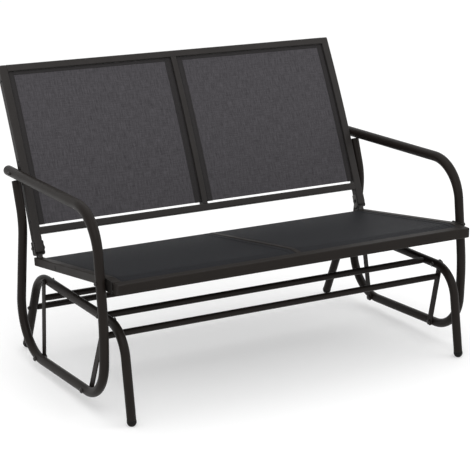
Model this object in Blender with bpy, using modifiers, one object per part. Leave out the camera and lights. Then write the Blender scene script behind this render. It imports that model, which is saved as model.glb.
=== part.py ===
"""Two-seat glider bench: a steel tube base, four swing links and a sling seat that glides on them.

Units are metres and +Z is up. The seat looks towards -Y, +X is the viewer's right, and the floor
is z = 0. Places in the side view are (y, z) pairs measured from the middle of the four feet; they
are moved by CENTRE_SHIFT when a piece is made, so that the origin lies under the middle of the
whole bench.
"""
import math

import bmesh
import bpy
from mathutils import Matrix, Vector

# ---------------------------------------------------------------- driving sizes
SWING_WIDTH = 1.218          # over the outsides of the two arm loops
LOOP_TUBE = 0.027            # round tube of the arm loops
ARMREST_TUBE = 0.0305        # the loop's swollen stretch under the forearm
HOOP_TUBE = 0.026            # round tube of the base hoops
LINK_SPACE = 0.021           # between a hoop's outer side and a loop's inner side

FEET_BEYOND_SEAT = 0.166     # front foot to rear foot, more than the seat's depth
HOOP_HEIGHT = 0.2615         # axis of a hoop's top tube
FRONT_LEG_LEAN = math.radians(9.7)
REAR_LEG_LEAN = math.radians(24.0)
HOOP_BEND = 0.095
FOOT_DROP = 0.0010           # how much of a foot's dome is flattened on the floor
FOOT_SKIRT = 0.0040          # above the centre of a foot's dome
FOOT_OVERSIZE = 0.0005

FRONT_PIVOT_INSET = 0.0823   # top pivots, from the hoop's corners
REAR_PIVOT_INSET = 0.0746
FRONT_LINK_LEAN = math.radians(16.8)
REAR_LINK_LEAN = math.radians(-6.0)
FRONT_CLEARANCE = 0.0365     # under the loops' bottom tubes, at the low pivots
REAR_CLEARANCE = 0.0250
LINK_WIDTH = 0.022
LINK_THICKNESS = 0.004
LINK_RAIL_TUBE = 0.019
LINK_RAIL_DROP = 0.0480      # from the top pivots, along the links

BASE_RAIL_TUBE = 0.019
FRONT_BASE_RAIL_BACK = 0.050  # behind the front top pivots
REAR_BASE_RAIL_HEIGHT = 0.144

LOOP_FRONT_REACH = 0.1213    # from the front low pivot to the loop's front corner
LOOP_TOP_BEND = 0.126
LOOP_UPRIGHT_BEND = 0.680
LOOP_FRONT_BEND = 0.120
LOOP_REAR_BEND = 0.140
LOOP_KNEE_BEND = 0.186
FRONT_UPRIGHT_LEAN = math.radians(7.4)
FRONT_UPRIGHT_LOW_LEAN = math.radians(-1.8)
FRONT_UPRIGHT_RISE = 0.213   # from the loop's front corner to where the upright's lean changes
REAR_UPRIGHT_LEAN = math.radians(8.2)
KNEE_LEAN = math.radians(20.0)
KNEE_DROP = 0.136            # the rear upright's knee, below the armrest's axis
ARM_OVER_SEAT = 0.169        # armrest axis at the backrest, above the seat's front edge
ARMREST_RISE = math.radians(0.8)
ARMREST_TAIL = 0.0415        # armrest tube behind the backrest's bolt
UPRIGHT_AHEAD_OF_BOLT = 0.0125

SEAT_DEPTH = 0.570
SEAT_RISE = math.radians(8.13)
SEAT_CLEARANCE = 0.0297      # between the hoops' top and the seat rails, at the rear
SEAT_FRONT_PROUD = 0.0719    # seat's front edge, ahead of the loops' front uprights
SEAT_SIDE_GAP = 0.0025       # between the frames and the armrests
SEAT_LIP_DROP = 0.0025       # the seat's top falls by this much over its front edge
SEAT_LIP = 0.036             # length of that fall, behind the front rail
SEAT_LIP_BEND = 0.080
RAIL = 0.025                 # square tube of the seat and back frames
CROSS_RAIL = 0.021           # height of the cross rails of the back
CENTRE_RAIL = 0.018
FRONT_RAIL_DEPTH = 0.030
FRONT_RAIL_HEIGHT = 0.0305
REAR_RAIL_DROP = 0.0035
RAIL_EDGE = 0.0025           # rounding of the square tubes

BACK_LENGTH = 0.568
BACK_LEAN_LOW = math.radians(21.5)
BACK_LEAN_TOP = math.radians(28.8)
BACK_RAIL_RISE = 0.052       # lower end of the side rails to the bottom cross rail
HINGE_FORWARD = 0.0034       # hinge bolt, from the seat's rear top edge
HINGE_UP = 0.0284
HINGE_FROM_END = 0.013       # hinge bolt, from the side rails' lower ends

SLING = 0.004
BACK_SLING_DEPTH = 0.008     # behind the back rails' front faces
SEAT_SLING_DEPTH = 0.0016    # below the seat rails' top faces
SLING_GAP_LOW = 0.007
SLING_GAP_TOP = 0.011
SEAT_SLING_GAP = 0.003

CLEVIS_PLATE = 0.003
CLEVIS_DEPTH = 0.020
CLEVIS_RISE = 0.020
CLEVIS_ROUND = 0.0055
CLEVIS_NECK = 0.013
CLEVIS_WINDOW = 0.0055       # see-through gap under the rail's end
SPACER_LENGTH = 0.057
SPACER_HEIGHT = 0.035
SPACER_FRONT_GAP = 0.001

PIVOT_SHANK = 0.0080         # diameters of the bolts
FRAME_SHANK = 0.0060
HEAD_RATIO = 2.0             # head and nut diameters, from the shank's
HEAD_HEIGHT = 0.0045
NUT_HEIGHT = 0.0045
RAIL_BOLT_DEPTH = 0.018      # how far a frame bolt reaches into the rail it holds
OPEN_PIVOT_PLAY = 0.0027     # radial play of the front links' lower holes

GAP = 0.0003                 # between pieces that touch
FACE_GAP = 0.0005            # between the links and the tubes they turn on
BORE_PLAY = 0.0003           # radial, between a bolt and its hole

# ---------------------------------------------------------------- worked-out places
HALF = 0.5
LOOP_X = SWING_WIDTH * HALF - LOOP_TUBE * HALF
HOOP_X = LOOP_X - LOOP_TUBE * HALF - LINK_SPACE - HOOP_TUBE * HALF
FRAME_HALF = LOOP_X - ARMREST_TUBE * HALF - SEAT_SIDE_GAP
RAIL_X = FRAME_HALF - RAIL * HALF
LINK_TOP_X = HOOP_X + HOOP_TUBE * HALF + FACE_GAP + LINK_THICKNESS * HALF
LINK_LOW_X = LOOP_X - LOOP_TUBE * HALF - FACE_GAP - LINK_THICKNESS * HALF
LOOP_INNER_X = LOOP_X - LOOP_TUBE * HALF
HOOP_INNER_X = HOOP_X - HOOP_TUBE * HALF


def lean_step(lean):
    """Unit step of a line that leans back by this angle from the upright, as (y, z)."""
    return Vector((math.sin(lean), math.cos(lean)))


FOOT_SPREAD = SEAT_DEPTH + FEET_BEYOND_SEAT
FRONT_FOOT = Vector((-FOOT_SPREAD * HALF, 0.0))
REAR_FOOT = Vector((FOOT_SPREAD * HALF, 0.0))
HOOP_FRONT_CORNER = Vector((FRONT_FOOT.x + HOOP_HEIGHT * math.tan(FRONT_LEG_LEAN), HOOP_HEIGHT))
HOOP_REAR_CORNER = Vector((REAR_FOOT.x - HOOP_HEIGHT * math.tan(REAR_LEG_LEAN), HOOP_HEIGHT))

FRONT_TOP_PIVOT = HOOP_FRONT_CORNER + Vector((FRONT_PIVOT_INSET, 0.0))
REAR_TOP_PIVOT = HOOP_REAR_CORNER - Vector((REAR_PIVOT_INSET, 0.0))
FRONT_BASE_RAIL = FRONT_TOP_PIVOT + Vector((FRONT_BASE_RAIL_BACK, 0.0))
REAR_BASE_RAIL = Vector((REAR_FOOT.x - REAR_BASE_RAIL_HEIGHT * math.tan(REAR_LEG_LEAN),
                         REAR_BASE_RAIL_HEIGHT))
FRONT_LINK_DROP = HOOP_HEIGHT - FRONT_CLEARANCE - LOOP_TUBE * HALF
REAR_LINK_DROP = HOOP_HEIGHT - REAR_CLEARANCE - LOOP_TUBE * HALF
FRONT_LINK_LENGTH = FRONT_LINK_DROP / math.cos(FRONT_LINK_LEAN)
REAR_LINK_LENGTH = REAR_LINK_DROP / math.cos(REAR_LINK_LEAN)


def link_point(top, lean, distance):
    """Point on a link's axis, this far below its top pivot; a positive lean carries it back."""
    return top + Vector((math.sin(lean), -math.cos(lean))) * distance


FRONT_LOW_PIVOT = link_point(FRONT_TOP_PIVOT, FRONT_LINK_LEAN, FRONT_LINK_LENGTH)
REAR_LOW_PIVOT = link_point(REAR_TOP_PIVOT, REAR_LINK_LEAN, REAR_LINK_LENGTH)
BOTTOM_SLOPE = (REAR_LOW_PIVOT.y - FRONT_LOW_PIVOT.y) / (REAR_LOW_PIVOT.x - FRONT_LOW_PIVOT.x)


def on_bottom_tube(y):
    """Point of the loops' bottom tube, whose axis runs through both lower pivots."""
    return Vector((y, FRONT_LOW_PIVOT.y + BOTTOM_SLOPE * (y - FRONT_LOW_PIVOT.x)))


LOOP_FRONT_CORNER = on_bottom_tube(FRONT_LOW_PIVOT.x - LOOP_FRONT_REACH)
LOW_UPRIGHT_STEP = Vector((math.tan(FRONT_UPRIGHT_LOW_LEAN), 1.0))
UPRIGHT_MIDDLE = LOOP_FRONT_CORNER + LOW_UPRIGHT_STEP * FRONT_UPRIGHT_RISE


def front_upright(z):
    """Y of the upper part of the loops' front uprights at this height."""
    return UPRIGHT_MIDDLE.x + (z - UPRIGHT_MIDDLE.y) * math.tan(FRONT_UPRIGHT_LEAN)


SEAT_REAR_TOP = HOOP_HEIGHT + HOOP_TUBE * HALF + SEAT_CLEARANCE + RAIL
SEAT_SLOPED = SEAT_DEPTH - FRONT_RAIL_DEPTH - SEAT_LIP
SEAT_CREST_TOP = SEAT_REAR_TOP + SEAT_SLOPED * math.tan(SEAT_RISE)
SEAT_FRONT_TOP = SEAT_CREST_TOP - SEAT_LIP_DROP
SEAT_FRONT_Y = front_upright(SEAT_FRONT_TOP) - SEAT_FRONT_PROUD
FRONT_RAIL_BACK_Y = SEAT_FRONT_Y + FRONT_RAIL_DEPTH
SEAT_REAR_Y = SEAT_FRONT_Y + SEAT_DEPTH
SEAT_SLING_REAR = SEAT_REAR_Y - RAIL / math.cos(SEAT_RISE) - SEAT_SLING_GAP
SEAT_BOLT_Z = SEAT_CREST_TOP - RAIL * HALF
SEAT_BOLT = Vector((front_upright(SEAT_BOLT_Z), SEAT_BOLT_Z))

ARM_HEIGHT = SEAT_FRONT_TOP + ARM_OVER_SEAT

HINGE = Vector((SEAT_REAR_Y - HINGE_FORWARD, SEAT_REAR_TOP + HINGE_UP))
BACK_FOOT = HINGE - lean_step(BACK_LEAN_LOW) * HINGE_FROM_END
BACK_CURVE = (BACK_LEAN_TOP - BACK_LEAN_LOW) / BACK_LENGTH


def back_point(along, behind=0.0):
    """Point of the side rails' arc: distance from their lower ends, and depth behind their axis."""
    lean = BACK_LEAN_LOW + BACK_CURVE * along
    y = BACK_FOOT.x + (math.cos(BACK_LEAN_LOW) - math.cos(lean)) / BACK_CURVE
    z = BACK_FOOT.y + (math.sin(lean) - math.sin(BACK_LEAN_LOW)) / BACK_CURVE
    return Vector((y, z)) + Vector((math.cos(lean), -math.sin(lean))) * behind


def back_lean(along):
    """Lean of the backrest at this distance from the side rails' lower ends."""
    return BACK_LEAN_LOW + BACK_CURVE * along


def back_distance(z):
    """Distance along the side rails at which their axis reaches this height."""
    sine = math.sin(BACK_LEAN_LOW) + BACK_CURVE * (z - BACK_FOOT.y)
    return (math.asin(sine) - BACK_LEAN_LOW) / BACK_CURVE


ARM_BOLT = back_point(back_distance(ARM_HEIGHT))


def armrest_height(y):
    """Height of the armrests' axis, which rises towards the front."""
    return ARM_HEIGHT - (y - ARM_BOLT.x) * math.tan(ARMREST_RISE)


ARMREST_END = Vector((ARM_BOLT.x + ARMREST_TAIL, armrest_height(ARM_BOLT.x + ARMREST_TAIL)))
LEAN_SLOPE = math.tan(FRONT_UPRIGHT_LEAN)
CORNER_SHARE = LEAN_SLOPE / (1.0 + LEAN_SLOPE * math.tan(ARMREST_RISE))
CORNER_Y = UPRIGHT_MIDDLE.x + (armrest_height(UPRIGHT_MIDDLE.x) - UPRIGHT_MIDDLE.y) * CORNER_SHARE
LOOP_TOP_CORNER = Vector((CORNER_Y, armrest_height(CORNER_Y)))

UPRIGHT_Y = ARM_BOLT.x - UPRIGHT_AHEAD_OF_BOLT
UPRIGHT_TOP = Vector((UPRIGHT_Y, armrest_height(UPRIGHT_Y) - ARMREST_TUBE * HALF
                      - LOOP_TUBE * HALF * math.sin(KNEE_LEAN)))
KNEE = Vector((UPRIGHT_TOP.x - (UPRIGHT_TOP.y - ARM_HEIGHT + KNEE_DROP) * math.tan(KNEE_LEAN),
               ARM_HEIGHT - KNEE_DROP))
LOOP_REAR_Y = KNEE.x + (KNEE.y - REAR_LOW_PIVOT.y) * math.tan(REAR_UPRIGHT_LEAN)
LOOP_REAR_CORNER = on_bottom_tube(LOOP_REAR_Y)

FOOT_RADIUS = HOOP_TUBE * HALF + FOOT_OVERSIZE
BENCH_FRONT = FRONT_FOOT.x + (FOOT_RADIUS - FOOT_DROP) * math.tan(FRONT_LEG_LEAN) - FOOT_RADIUS
BACK_EDGE_LOSS = RAIL_EDGE * (math.cos(BACK_LEAN_TOP) + math.sin(BACK_LEAN_TOP) - 1.0)
BENCH_REAR = back_point(BACK_LENGTH, RAIL * HALF).x - BACK_EDGE_LOSS
CENTRE_SHIFT = -(BENCH_FRONT + BENCH_REAR) * HALF

SIDES = (("left", -1), ("right", 1))
X_AXIS = Vector((1.0, 0.0, 0.0))


def world(x, point):
    """World place of a side-view point at this x."""
    return Vector((x, point.x + CENTRE_SHIFT, point.y))


# ---------------------------------------------------------------- scene and materials
def clear_scene():
    """Remove every object that the scene starts with."""
    for item in list(bpy.data.objects):
        bpy.data.objects.remove(item, do_unlink=True)


def new_collection(name):
    """A collection linked to the scene."""
    group = bpy.data.collections.new(name)
    bpy.context.scene.collection.children.link(group)
    return group


def new_material(name, colour, roughness, metallic):
    """A plain Principled BSDF material."""
    paint = bpy.data.materials.new(name)
    paint.use_nodes = True
    shader = paint.node_tree.nodes["Principled BSDF"]
    shader.inputs["Base Color"].default_value = (*colour, 1.0)
    shader.inputs["Roughness"].default_value = roughness
    shader.inputs["Metallic"].default_value = metallic
    return paint


clear_scene()
PARTS = new_collection("glider_bench")
CUTTERS = new_collection("glider_bench_cutters")
FRAME_PAINT = new_material("frame_paint", (0.045, 0.040, 0.037), 0.45, 0.0)
TUBE_PAINT = new_material("tube_paint", (0.033, 0.029, 0.026), 0.42, 0.0)
BOLT_STEEL = new_material("bolt_steel", (0.060, 0.058, 0.056), 0.35, 1.0)
FOOT_PLASTIC = new_material("foot_plastic", (0.016, 0.015, 0.014), 0.60, 0.0)
CAP_PLASTIC = new_material("cap_plastic", (0.030, 0.027, 0.025), 0.55, 0.0)
BACK_MESH = new_material("back_mesh", (0.075, 0.072, 0.080), 0.80, 0.0)
SEAT_MESH = new_material("seat_mesh", (0.045, 0.045, 0.048), 0.80, 0.0)


# ---------------------------------------------------------------- modelling helpers
def add_object(name, data, paint, matrix=None, collection=PARTS):
    """Put mesh or curve data into the model as a named object."""
    item = bpy.data.objects.new(name, data)
    if paint is not None:
        data.materials.append(paint)
    if matrix is not None:
        item.matrix_world = matrix
    collection.objects.link(item)
    return item


def side_frame(x, point):
    """Matrix whose local X, Y and Z run along world Y, Z and X, at a side-view point."""
    turn = Matrix(((0.0, 0.0, 1.0), (1.0, 0.0, 0.0), (0.0, 1.0, 0.0))).to_4x4()
    return Matrix.Translation(world(x, point)) @ turn


def rounded_run(corners, bends, step=math.radians(11.0)):
    """Points of a run through corners, its inner corners rounded by arcs of the given radii."""
    points = [corners[0]]
    for before, corner, after, radius in zip(corners, corners[1:], corners[2:], bends):
        arrive = (corner - before).normalized()
        leave = (after - corner).normalized()
        turn = arrive.angle_signed(leave)
        reach = radius * math.tan(abs(turn) * HALF)
        count = max(2, math.ceil(abs(turn) / step))
        start = corner - arrive * reach
        side = Vector((-arrive.y, arrive.x)) * math.copysign(1.0, -turn)
        centre = start + side * radius
        for index in range(count + 1):
            angle = -turn * index / count
            arm = start - centre
            points.append(centre + Vector((arm.x * math.cos(angle) - arm.y * math.sin(angle),
                                           arm.x * math.sin(angle) + arm.y * math.cos(angle))))
    points.append(corners[-1])
    return points


def side_tube(name, x, origin, points, diameter, paint, sizes=None):
    """A round tube in a plane of constant x; sizes scale its diameter at each point."""
    curve = bpy.data.curves.new(name, "CURVE")
    curve.dimensions = "3D"
    curve.bevel_depth = diameter * HALF
    curve.bevel_resolution = 4
    curve.use_fill_caps = True
    spline = curve.splines.new("POLY")
    spline.points.add(len(points) - 1)
    for knot, point, size in zip(spline.points, points, sizes or [1.0] * len(points)):
        knot.co = (0.0, point.x - origin.x, point.y - origin.y, 1.0)
        knot.radius = size
    tube = add_object(name, curve, paint, Matrix.Translation(world(x, origin)))
    return make_mesh(tube)


def make_mesh(item):
    """Turn a curve object into a mesh object with its caps welded on."""
    bpy.context.view_layer.update()
    shape = item.evaluated_get(bpy.context.evaluated_depsgraph_get())
    mesh = bpy.data.meshes.new_from_object(shape)
    work = bmesh.new()
    work.from_mesh(mesh)
    bmesh.ops.remove_doubles(work, verts=work.verts, dist=0.00001)
    bmesh.ops.recalc_face_normals(work, faces=work.faces)
    work.to_mesh(mesh)
    work.free()
    mesh.shade_smooth()
    mesh.set_sharp_from_angle(angle=math.radians(40.0))
    name, place = item.name, item.matrix_world.copy()
    bpy.data.objects.remove(item, do_unlink=True)
    return add_object(name, mesh, None, place)


def cylinder_mesh(name, diameter, length):
    """Mesh of a cylinder along X."""
    mesh = bpy.data.meshes.new(name)
    work = bmesh.new()
    along_x = Matrix.Rotation(math.radians(90.0), 4, "Y")
    bmesh.ops.create_cone(work, cap_ends=True, segments=16, radius1=diameter * HALF,
                          radius2=diameter * HALF, depth=length, matrix=along_x)
    work.to_mesh(mesh)
    work.free()
    return mesh


def cross_tube(name, point, half_length, diameter, paint):
    """A straight round rail along X, centred on the bench."""
    mesh = cylinder_mesh(name, diameter, half_length * 2.0)
    mesh.shade_smooth()
    mesh.set_sharp_from_angle(angle=math.radians(40.0))
    return add_object(name, mesh, paint, Matrix.Translation(world(0.0, point)))


def round_edges(item, width, segments=2):
    """Round an object's sharp edges."""
    bevel = item.modifiers.new("edge", "BEVEL")
    bevel.width = width
    bevel.segments = segments
    bevel.limit_method = "ANGLE"
    bevel.angle_limit = math.radians(40.0)
    return item


def box(name, x, point, size, lean, paint, edge=RAIL_EDGE, collection=PARTS):
    """A box of size (x, y, z), leaned back about X, with rounded edges."""
    mesh = bpy.data.meshes.new(name)
    work = bmesh.new()
    bmesh.ops.create_cube(work, size=1.0, matrix=Matrix.Diagonal((*size, 1.0)))
    work.to_mesh(mesh)
    work.free()
    place = Matrix.Translation(world(x, point)) @ Matrix.Rotation(-lean, 4, "X")
    item = add_object(name, mesh, paint, place, collection)
    if edge:
        round_edges(item, edge)
    return item


def plate(name, matrix, outline, thickness, paint, edge=None):
    """A flat outline in the matrix's local XY plane, thickened evenly along its local Z."""
    curve = bpy.data.curves.new(name, "CURVE")
    curve.dimensions = "2D"
    curve.fill_mode = "BOTH"
    curve.extrude = thickness * HALF
    spline = curve.splines.new("POLY")
    spline.points.add(len(outline) - 1)
    for knot, point in zip(spline.points, outline):
        knot.co = (point.x, point.y, 0.0, 1.0)
    spline.use_cyclic_u = True
    item = make_mesh(add_object(name, curve, paint, matrix))
    if edge:
        round_edges(item, edge)
    return item


def strip_outline(points, near, far, origin):
    """Closed outline of a strip beside a run of points, between two offsets to its right."""
    def shifted(distance):
        moved = []
        for index, point in enumerate(points):
            before = points[max(index - 1, 0)]
            after = points[min(index + 1, len(points) - 1)]
            along = (after - before).normalized()
            moved.append(point + Vector((along.y, -along.x)) * distance - origin)
        return moved
    return shifted(near) + shifted(far)[::-1]


def bore(item, point, x_from, x_to, diameter):
    """Cut a round hole along X through an object, between two x values."""
    mesh = cylinder_mesh(item.name + "_bore", diameter, abs(x_to - x_from))
    place = Matrix.Translation(world((x_from + x_to) * HALF, point))
    cut(item, add_object(mesh.name, mesh, None, place, CUTTERS))


def cut(item, cutter):
    """Subtract a cutter from an object."""
    cutter.hide_render = True
    cutter.display_type = "WIRE"
    trim = item.modifiers.new("cut", "BOOLEAN")
    trim.operation = "DIFFERENCE"
    trim.object = cutter


def turned(name, profile, steps, paint, place):
    """A solid turned about its local Z axis from (radius, height) pairs, first and last on the axis."""
    mesh = bpy.data.meshes.new(name)
    work = bmesh.new()
    knots = [work.verts.new((radius, 0.0, height)) for radius, height in profile]
    for first, second in zip(knots, knots[1:]):
        work.edges.new((first, second))
    work.to_mesh(mesh)
    work.free()
    item = add_object(name, mesh, paint, place)
    screw = item.modifiers.new("turn", "SCREW")
    screw.axis = "Z"
    screw.steps = steps
    screw.render_steps = steps
    screw.use_merge_vertices = True
    screw.merge_threshold = 0.00005
    return item


def bolt(name, side, point, head_x, grip, shank, nut=True):
    """A turned bolt along X: a domed head, a shank of the grip's length, and a nut or a plain end.

    head_x is the seat of the head on the bench's right half; the shank runs inwards from it.
    """
    head = shank * HEAD_RATIO * HALF
    root = shank * HALF
    profile = [(0.0, HEAD_HEIGHT), (head * 0.55, HEAD_HEIGHT * 0.86), (head * 0.92, HEAD_HEIGHT * 0.4),
               (head, 0.0), (root, 0.0), (root, -grip)]
    if nut:
        profile += [(head, -grip), (head, -grip - NUT_HEIGHT), (0.0, -grip - NUT_HEIGHT)]
    else:
        profile += [(0.0, -grip)]
    place = Matrix.Translation(world(side * head_x, point))
    return turned(name, profile, 12, BOLT_STEEL, place @ Matrix.Rotation(math.radians(90.0) * side, 4, "Y"))


def frame_bolt(name, side, point, head_x):
    """A bolt from a loop's outer side into the side rail of the seat or the backrest."""
    return bolt(name, side, point, head_x, head_x - FRAME_HALF + RAIL_BOLT_DEPTH, FRAME_SHANK, nut=False)


def bore_side_rail(rail, side, point):
    """Blind hole for a frame bolt in the outer face of a side rail."""
    bore(rail, point, side * (FRAME_HALF - RAIL_BOLT_DEPTH - GAP), side * (FRAME_HALF + RAIL),
         FRAME_SHANK + 2.0 * BORE_PLAY)


# ---------------------------------------------------------------- base
def dome_centre(lean):
    """Distance along a leaning leg from the floor to the centre of its foot's dome."""
    return (FOOT_RADIUS - FOOT_DROP) / math.cos(lean)


def leg_start(lean):
    """Distance along a leaning leg from the floor to the lower end of its tube."""
    return dome_centre(lean) + FOOT_SKIRT + GAP


def make_hoop(side_name, side):
    """One base hoop: front leg, level top tube and rear leg, bored for its bolts."""
    front_end = FRONT_FOOT + lean_step(FRONT_LEG_LEAN) * leg_start(FRONT_LEG_LEAN)
    rear_end = REAR_FOOT + lean_step(-REAR_LEG_LEAN) * leg_start(REAR_LEG_LEAN)
    run = rounded_run([front_end, HOOP_FRONT_CORNER, HOOP_REAR_CORNER, rear_end],
                      (HOOP_BEND, HOOP_BEND))
    hoop = side_tube("base_hoop_" + side_name, side * HOOP_X, HOOP_FRONT_CORNER, run, HOOP_TUBE,
                     TUBE_PAINT)
    inside = side * (HOOP_X - HOOP_TUBE)
    outside = side * (HOOP_X + HOOP_TUBE)
    for pivot in (FRONT_TOP_PIVOT, REAR_TOP_PIVOT):
        bore(hoop, pivot, inside, outside, PIVOT_SHANK + 2.0 * BORE_PLAY)
    for seat in (FRONT_BASE_RAIL, REAR_BASE_RAIL):
        bore(hoop, seat, inside, outside, FRAME_SHANK + 2.0 * BORE_PLAY)
    return hoop


def make_foot(name, side, foot, lean):
    """A domed plastic foot on a leg's end, flattened where it stands."""
    profile = [(0.0, FOOT_SKIRT), (FOOT_RADIUS, FOOT_SKIRT)]
    profile += [(FOOT_RADIUS * math.cos(angle), -FOOT_RADIUS * math.sin(angle))
                for angle in (math.radians(18.0 * step) for step in range(5))]
    profile += [(0.0, -FOOT_RADIUS)]
    centre = foot + lean_step(lean) * dome_centre(lean)
    place = Matrix.Translation(world(side * HOOP_X, centre)) @ Matrix.Rotation(-lean, 4, "X")
    item = turned(name, profile, 16, FOOT_PLASTIC, place)
    floor = box(name + "_floor", side * HOOP_X, foot - Vector((0.0, FOOT_RADIUS)),
                (FOOT_RADIUS * 4.0, FOOT_RADIUS * 4.0, FOOT_RADIUS * 2.0), 0.0, None, None, CUTTERS)
    cut(item, floor)
    return item


def make_base_rails():
    """The two rails that join the hoops, bored at both ends for their bolts."""
    reach = HOOP_INNER_X - GAP
    for name, seat in (("base_front_rail", FRONT_BASE_RAIL), ("base_rear_rail", REAR_BASE_RAIL)):
        rail = cross_tube(name, seat, reach, BASE_RAIL_TUBE, TUBE_PAINT)
        for side_name, side in SIDES:
            bore(rail, seat, side * (reach - RAIL_BOLT_DEPTH - GAP), side * (reach + HOOP_TUBE),
                 FRAME_SHANK + 2.0 * BORE_PLAY)
            bolt(name + "_bolt_" + side_name, side, seat, HOOP_X + HOOP_TUBE * HALF + GAP,
                 HOOP_TUBE + RAIL_BOLT_DEPTH, FRAME_SHANK, nut=False)


def make_base():
    """Both hoops, their feet, rails and bolts, and the top pivot bolts."""
    for side_name, side in SIDES:
        make_hoop(side_name, side)
        make_foot("foot_front_" + side_name, side, FRONT_FOOT, FRONT_LEG_LEAN)
        make_foot("foot_rear_" + side_name, side, REAR_FOOT, -REAR_LEG_LEAN)
        head_x = LINK_TOP_X + LINK_THICKNESS * HALF + 2.0 * FACE_GAP
        grip = head_x - HOOP_INNER_X + GAP
        for end, pivot in (("front", FRONT_TOP_PIVOT), ("rear", REAR_TOP_PIVOT)):
            bolt("top_pivot_bolt_%s_%s" % (end, side_name), side, pivot, head_x, grip, PIVOT_SHANK)
    make_base_rails()


# ---------------------------------------------------------------- links
def make_link(name, side, top, low, low_play):
    """A flat bar with round ends from a hoop's outer side to a loop's inner side."""
    start = world(side * LINK_TOP_X, top)
    run = world(side * LINK_LOW_X, low) - start
    along = run.normalized()
    across = along.cross(X_AXIS).normalized()
    normal = along.cross(across)
    matrix = Matrix((along, across, normal)).transposed().to_4x4()
    matrix.translation = start
    radius = LINK_WIDTH * HALF
    quarter = math.radians(90.0)
    turns = [math.radians(22.5 * step) for step in range(9)]
    outline = [Vector((run.length + radius * math.cos(turn - quarter),
                       radius * math.sin(turn - quarter))) for turn in turns]
    outline += [Vector((-radius * math.cos(turn - quarter),
                        -radius * math.sin(turn - quarter))) for turn in turns]
    link = plate(name, matrix, outline, LINK_THICKNESS, TUBE_PAINT)
    inside = side * (HOOP_X + HOOP_TUBE * HALF - LINK_THICKNESS)
    outside = side * (LOOP_INNER_X + LINK_THICKNESS)
    bore(link, top, inside, outside, PIVOT_SHANK + 2.0 * BORE_PLAY)
    bore(link, low, inside, outside, PIVOT_SHANK + 2.0 * low_play)
    return link


def make_link_frame(name, top, low, low_play):
    """Two links and the rail between them."""
    for side_name, side in SIDES:
        make_link(name + "_link_" + side_name, side, top, low, low_play)
    length = (low - top).length
    share = LINK_RAIL_DROP / length
    link_x = LINK_TOP_X + (LINK_LOW_X - LINK_TOP_X) * share
    slant = math.atan2(LINK_LOW_X - LINK_TOP_X, length)
    reach = link_x - (LINK_THICKNESS * HALF + LINK_RAIL_TUBE * HALF * math.sin(slant)) - 2.0 * GAP
    cross_tube(name + "_link_rail", top.lerp(low, share), reach, LINK_RAIL_TUBE, TUBE_PAINT)


def make_links():
    """Front and rear link frames; the front one's lower holes have play for the open pivot."""
    make_link_frame("front", FRONT_TOP_PIVOT, FRONT_LOW_PIVOT, OPEN_PIVOT_PLAY)
    make_link_frame("rear", REAR_TOP_PIVOT, REAR_LOW_PIVOT, BORE_PLAY)


# ---------------------------------------------------------------- arm loops
def armrest_sizes(run):
    """Diameters along a loop, from its own: swollen on the armrest, shrinking in the front bend."""
    swell = ARMREST_TUBE / LOOP_TUBE - 1.0
    share = 1.0
    sizes = []
    for point in run:
        drop = (armrest_height(point.x) - point.y) / LOOP_TOP_BEND
        share = max(min(share, 1.0 - drop), 0.0)
        sizes.append(1.0 + swell * share * share * (3.0 - 2.0 * share))
    return sizes


def make_loop(side_name, side):
    """One bent tube: armrest, front upright, bottom tube and rear upright under the armrest."""
    corners = [ARMREST_END, LOOP_TOP_CORNER, UPRIGHT_MIDDLE, LOOP_FRONT_CORNER, LOOP_REAR_CORNER,
               KNEE, UPRIGHT_TOP]
    bends = (LOOP_TOP_BEND, LOOP_UPRIGHT_BEND, LOOP_FRONT_BEND, LOOP_REAR_BEND, LOOP_KNEE_BEND)
    run = rounded_run(corners, bends)
    loop = side_tube("arm_loop_" + side_name, side * LOOP_X, REAR_LOW_PIVOT, run, LOOP_TUBE,
                     TUBE_PAINT, armrest_sizes(run))
    inside = side * (LOOP_X - ARMREST_TUBE)
    outside = side * (LOOP_X + ARMREST_TUBE)
    for pivot in (FRONT_LOW_PIVOT, REAR_LOW_PIVOT):
        bore(loop, pivot, inside, outside, PIVOT_SHANK + 2.0 * BORE_PLAY)
    for seat in (ARM_BOLT, SEAT_BOLT):
        bore(loop, seat, inside, outside, FRAME_SHANK + 2.0 * BORE_PLAY)
    return loop


def make_end_cap(side_name, side):
    """Domed plastic plug on the armrest's rear end."""
    radius = ARMREST_TUBE * HALF
    profile = [(0.0, radius * 0.62), (radius * 0.55, radius * 0.52), (radius * 0.86, radius * 0.28),
               (radius, 0.0), (radius, -radius * 0.18), (0.0, -radius * 0.18)]
    place = Matrix.Translation(world(side * LOOP_X, ARMREST_END + Vector((radius * 0.18 + GAP, 0.0))))
    turn = Matrix.Rotation(-math.radians(90.0) - ARMREST_RISE, 4, "X")
    return turned("armrest_cap_" + side_name, profile, 12, CAP_PLASTIC, place @ turn)


def make_arms():
    """Arm loops with their caps and the bolts of the lower pivots."""
    for side_name, side in SIDES:
        make_loop(side_name, side)
        make_end_cap(side_name, side)
        head_x = LOOP_X + LOOP_TUBE * HALF + GAP
        grip = head_x - LINK_LOW_X + LINK_THICKNESS * HALF + 2.0 * FACE_GAP
        for end, pivot in (("front", FRONT_LOW_PIVOT), ("rear", REAR_LOW_PIVOT)):
            bolt("low_pivot_bolt_%s_%s" % (end, side_name), side, pivot, head_x, grip, PIVOT_SHANK)


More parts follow.
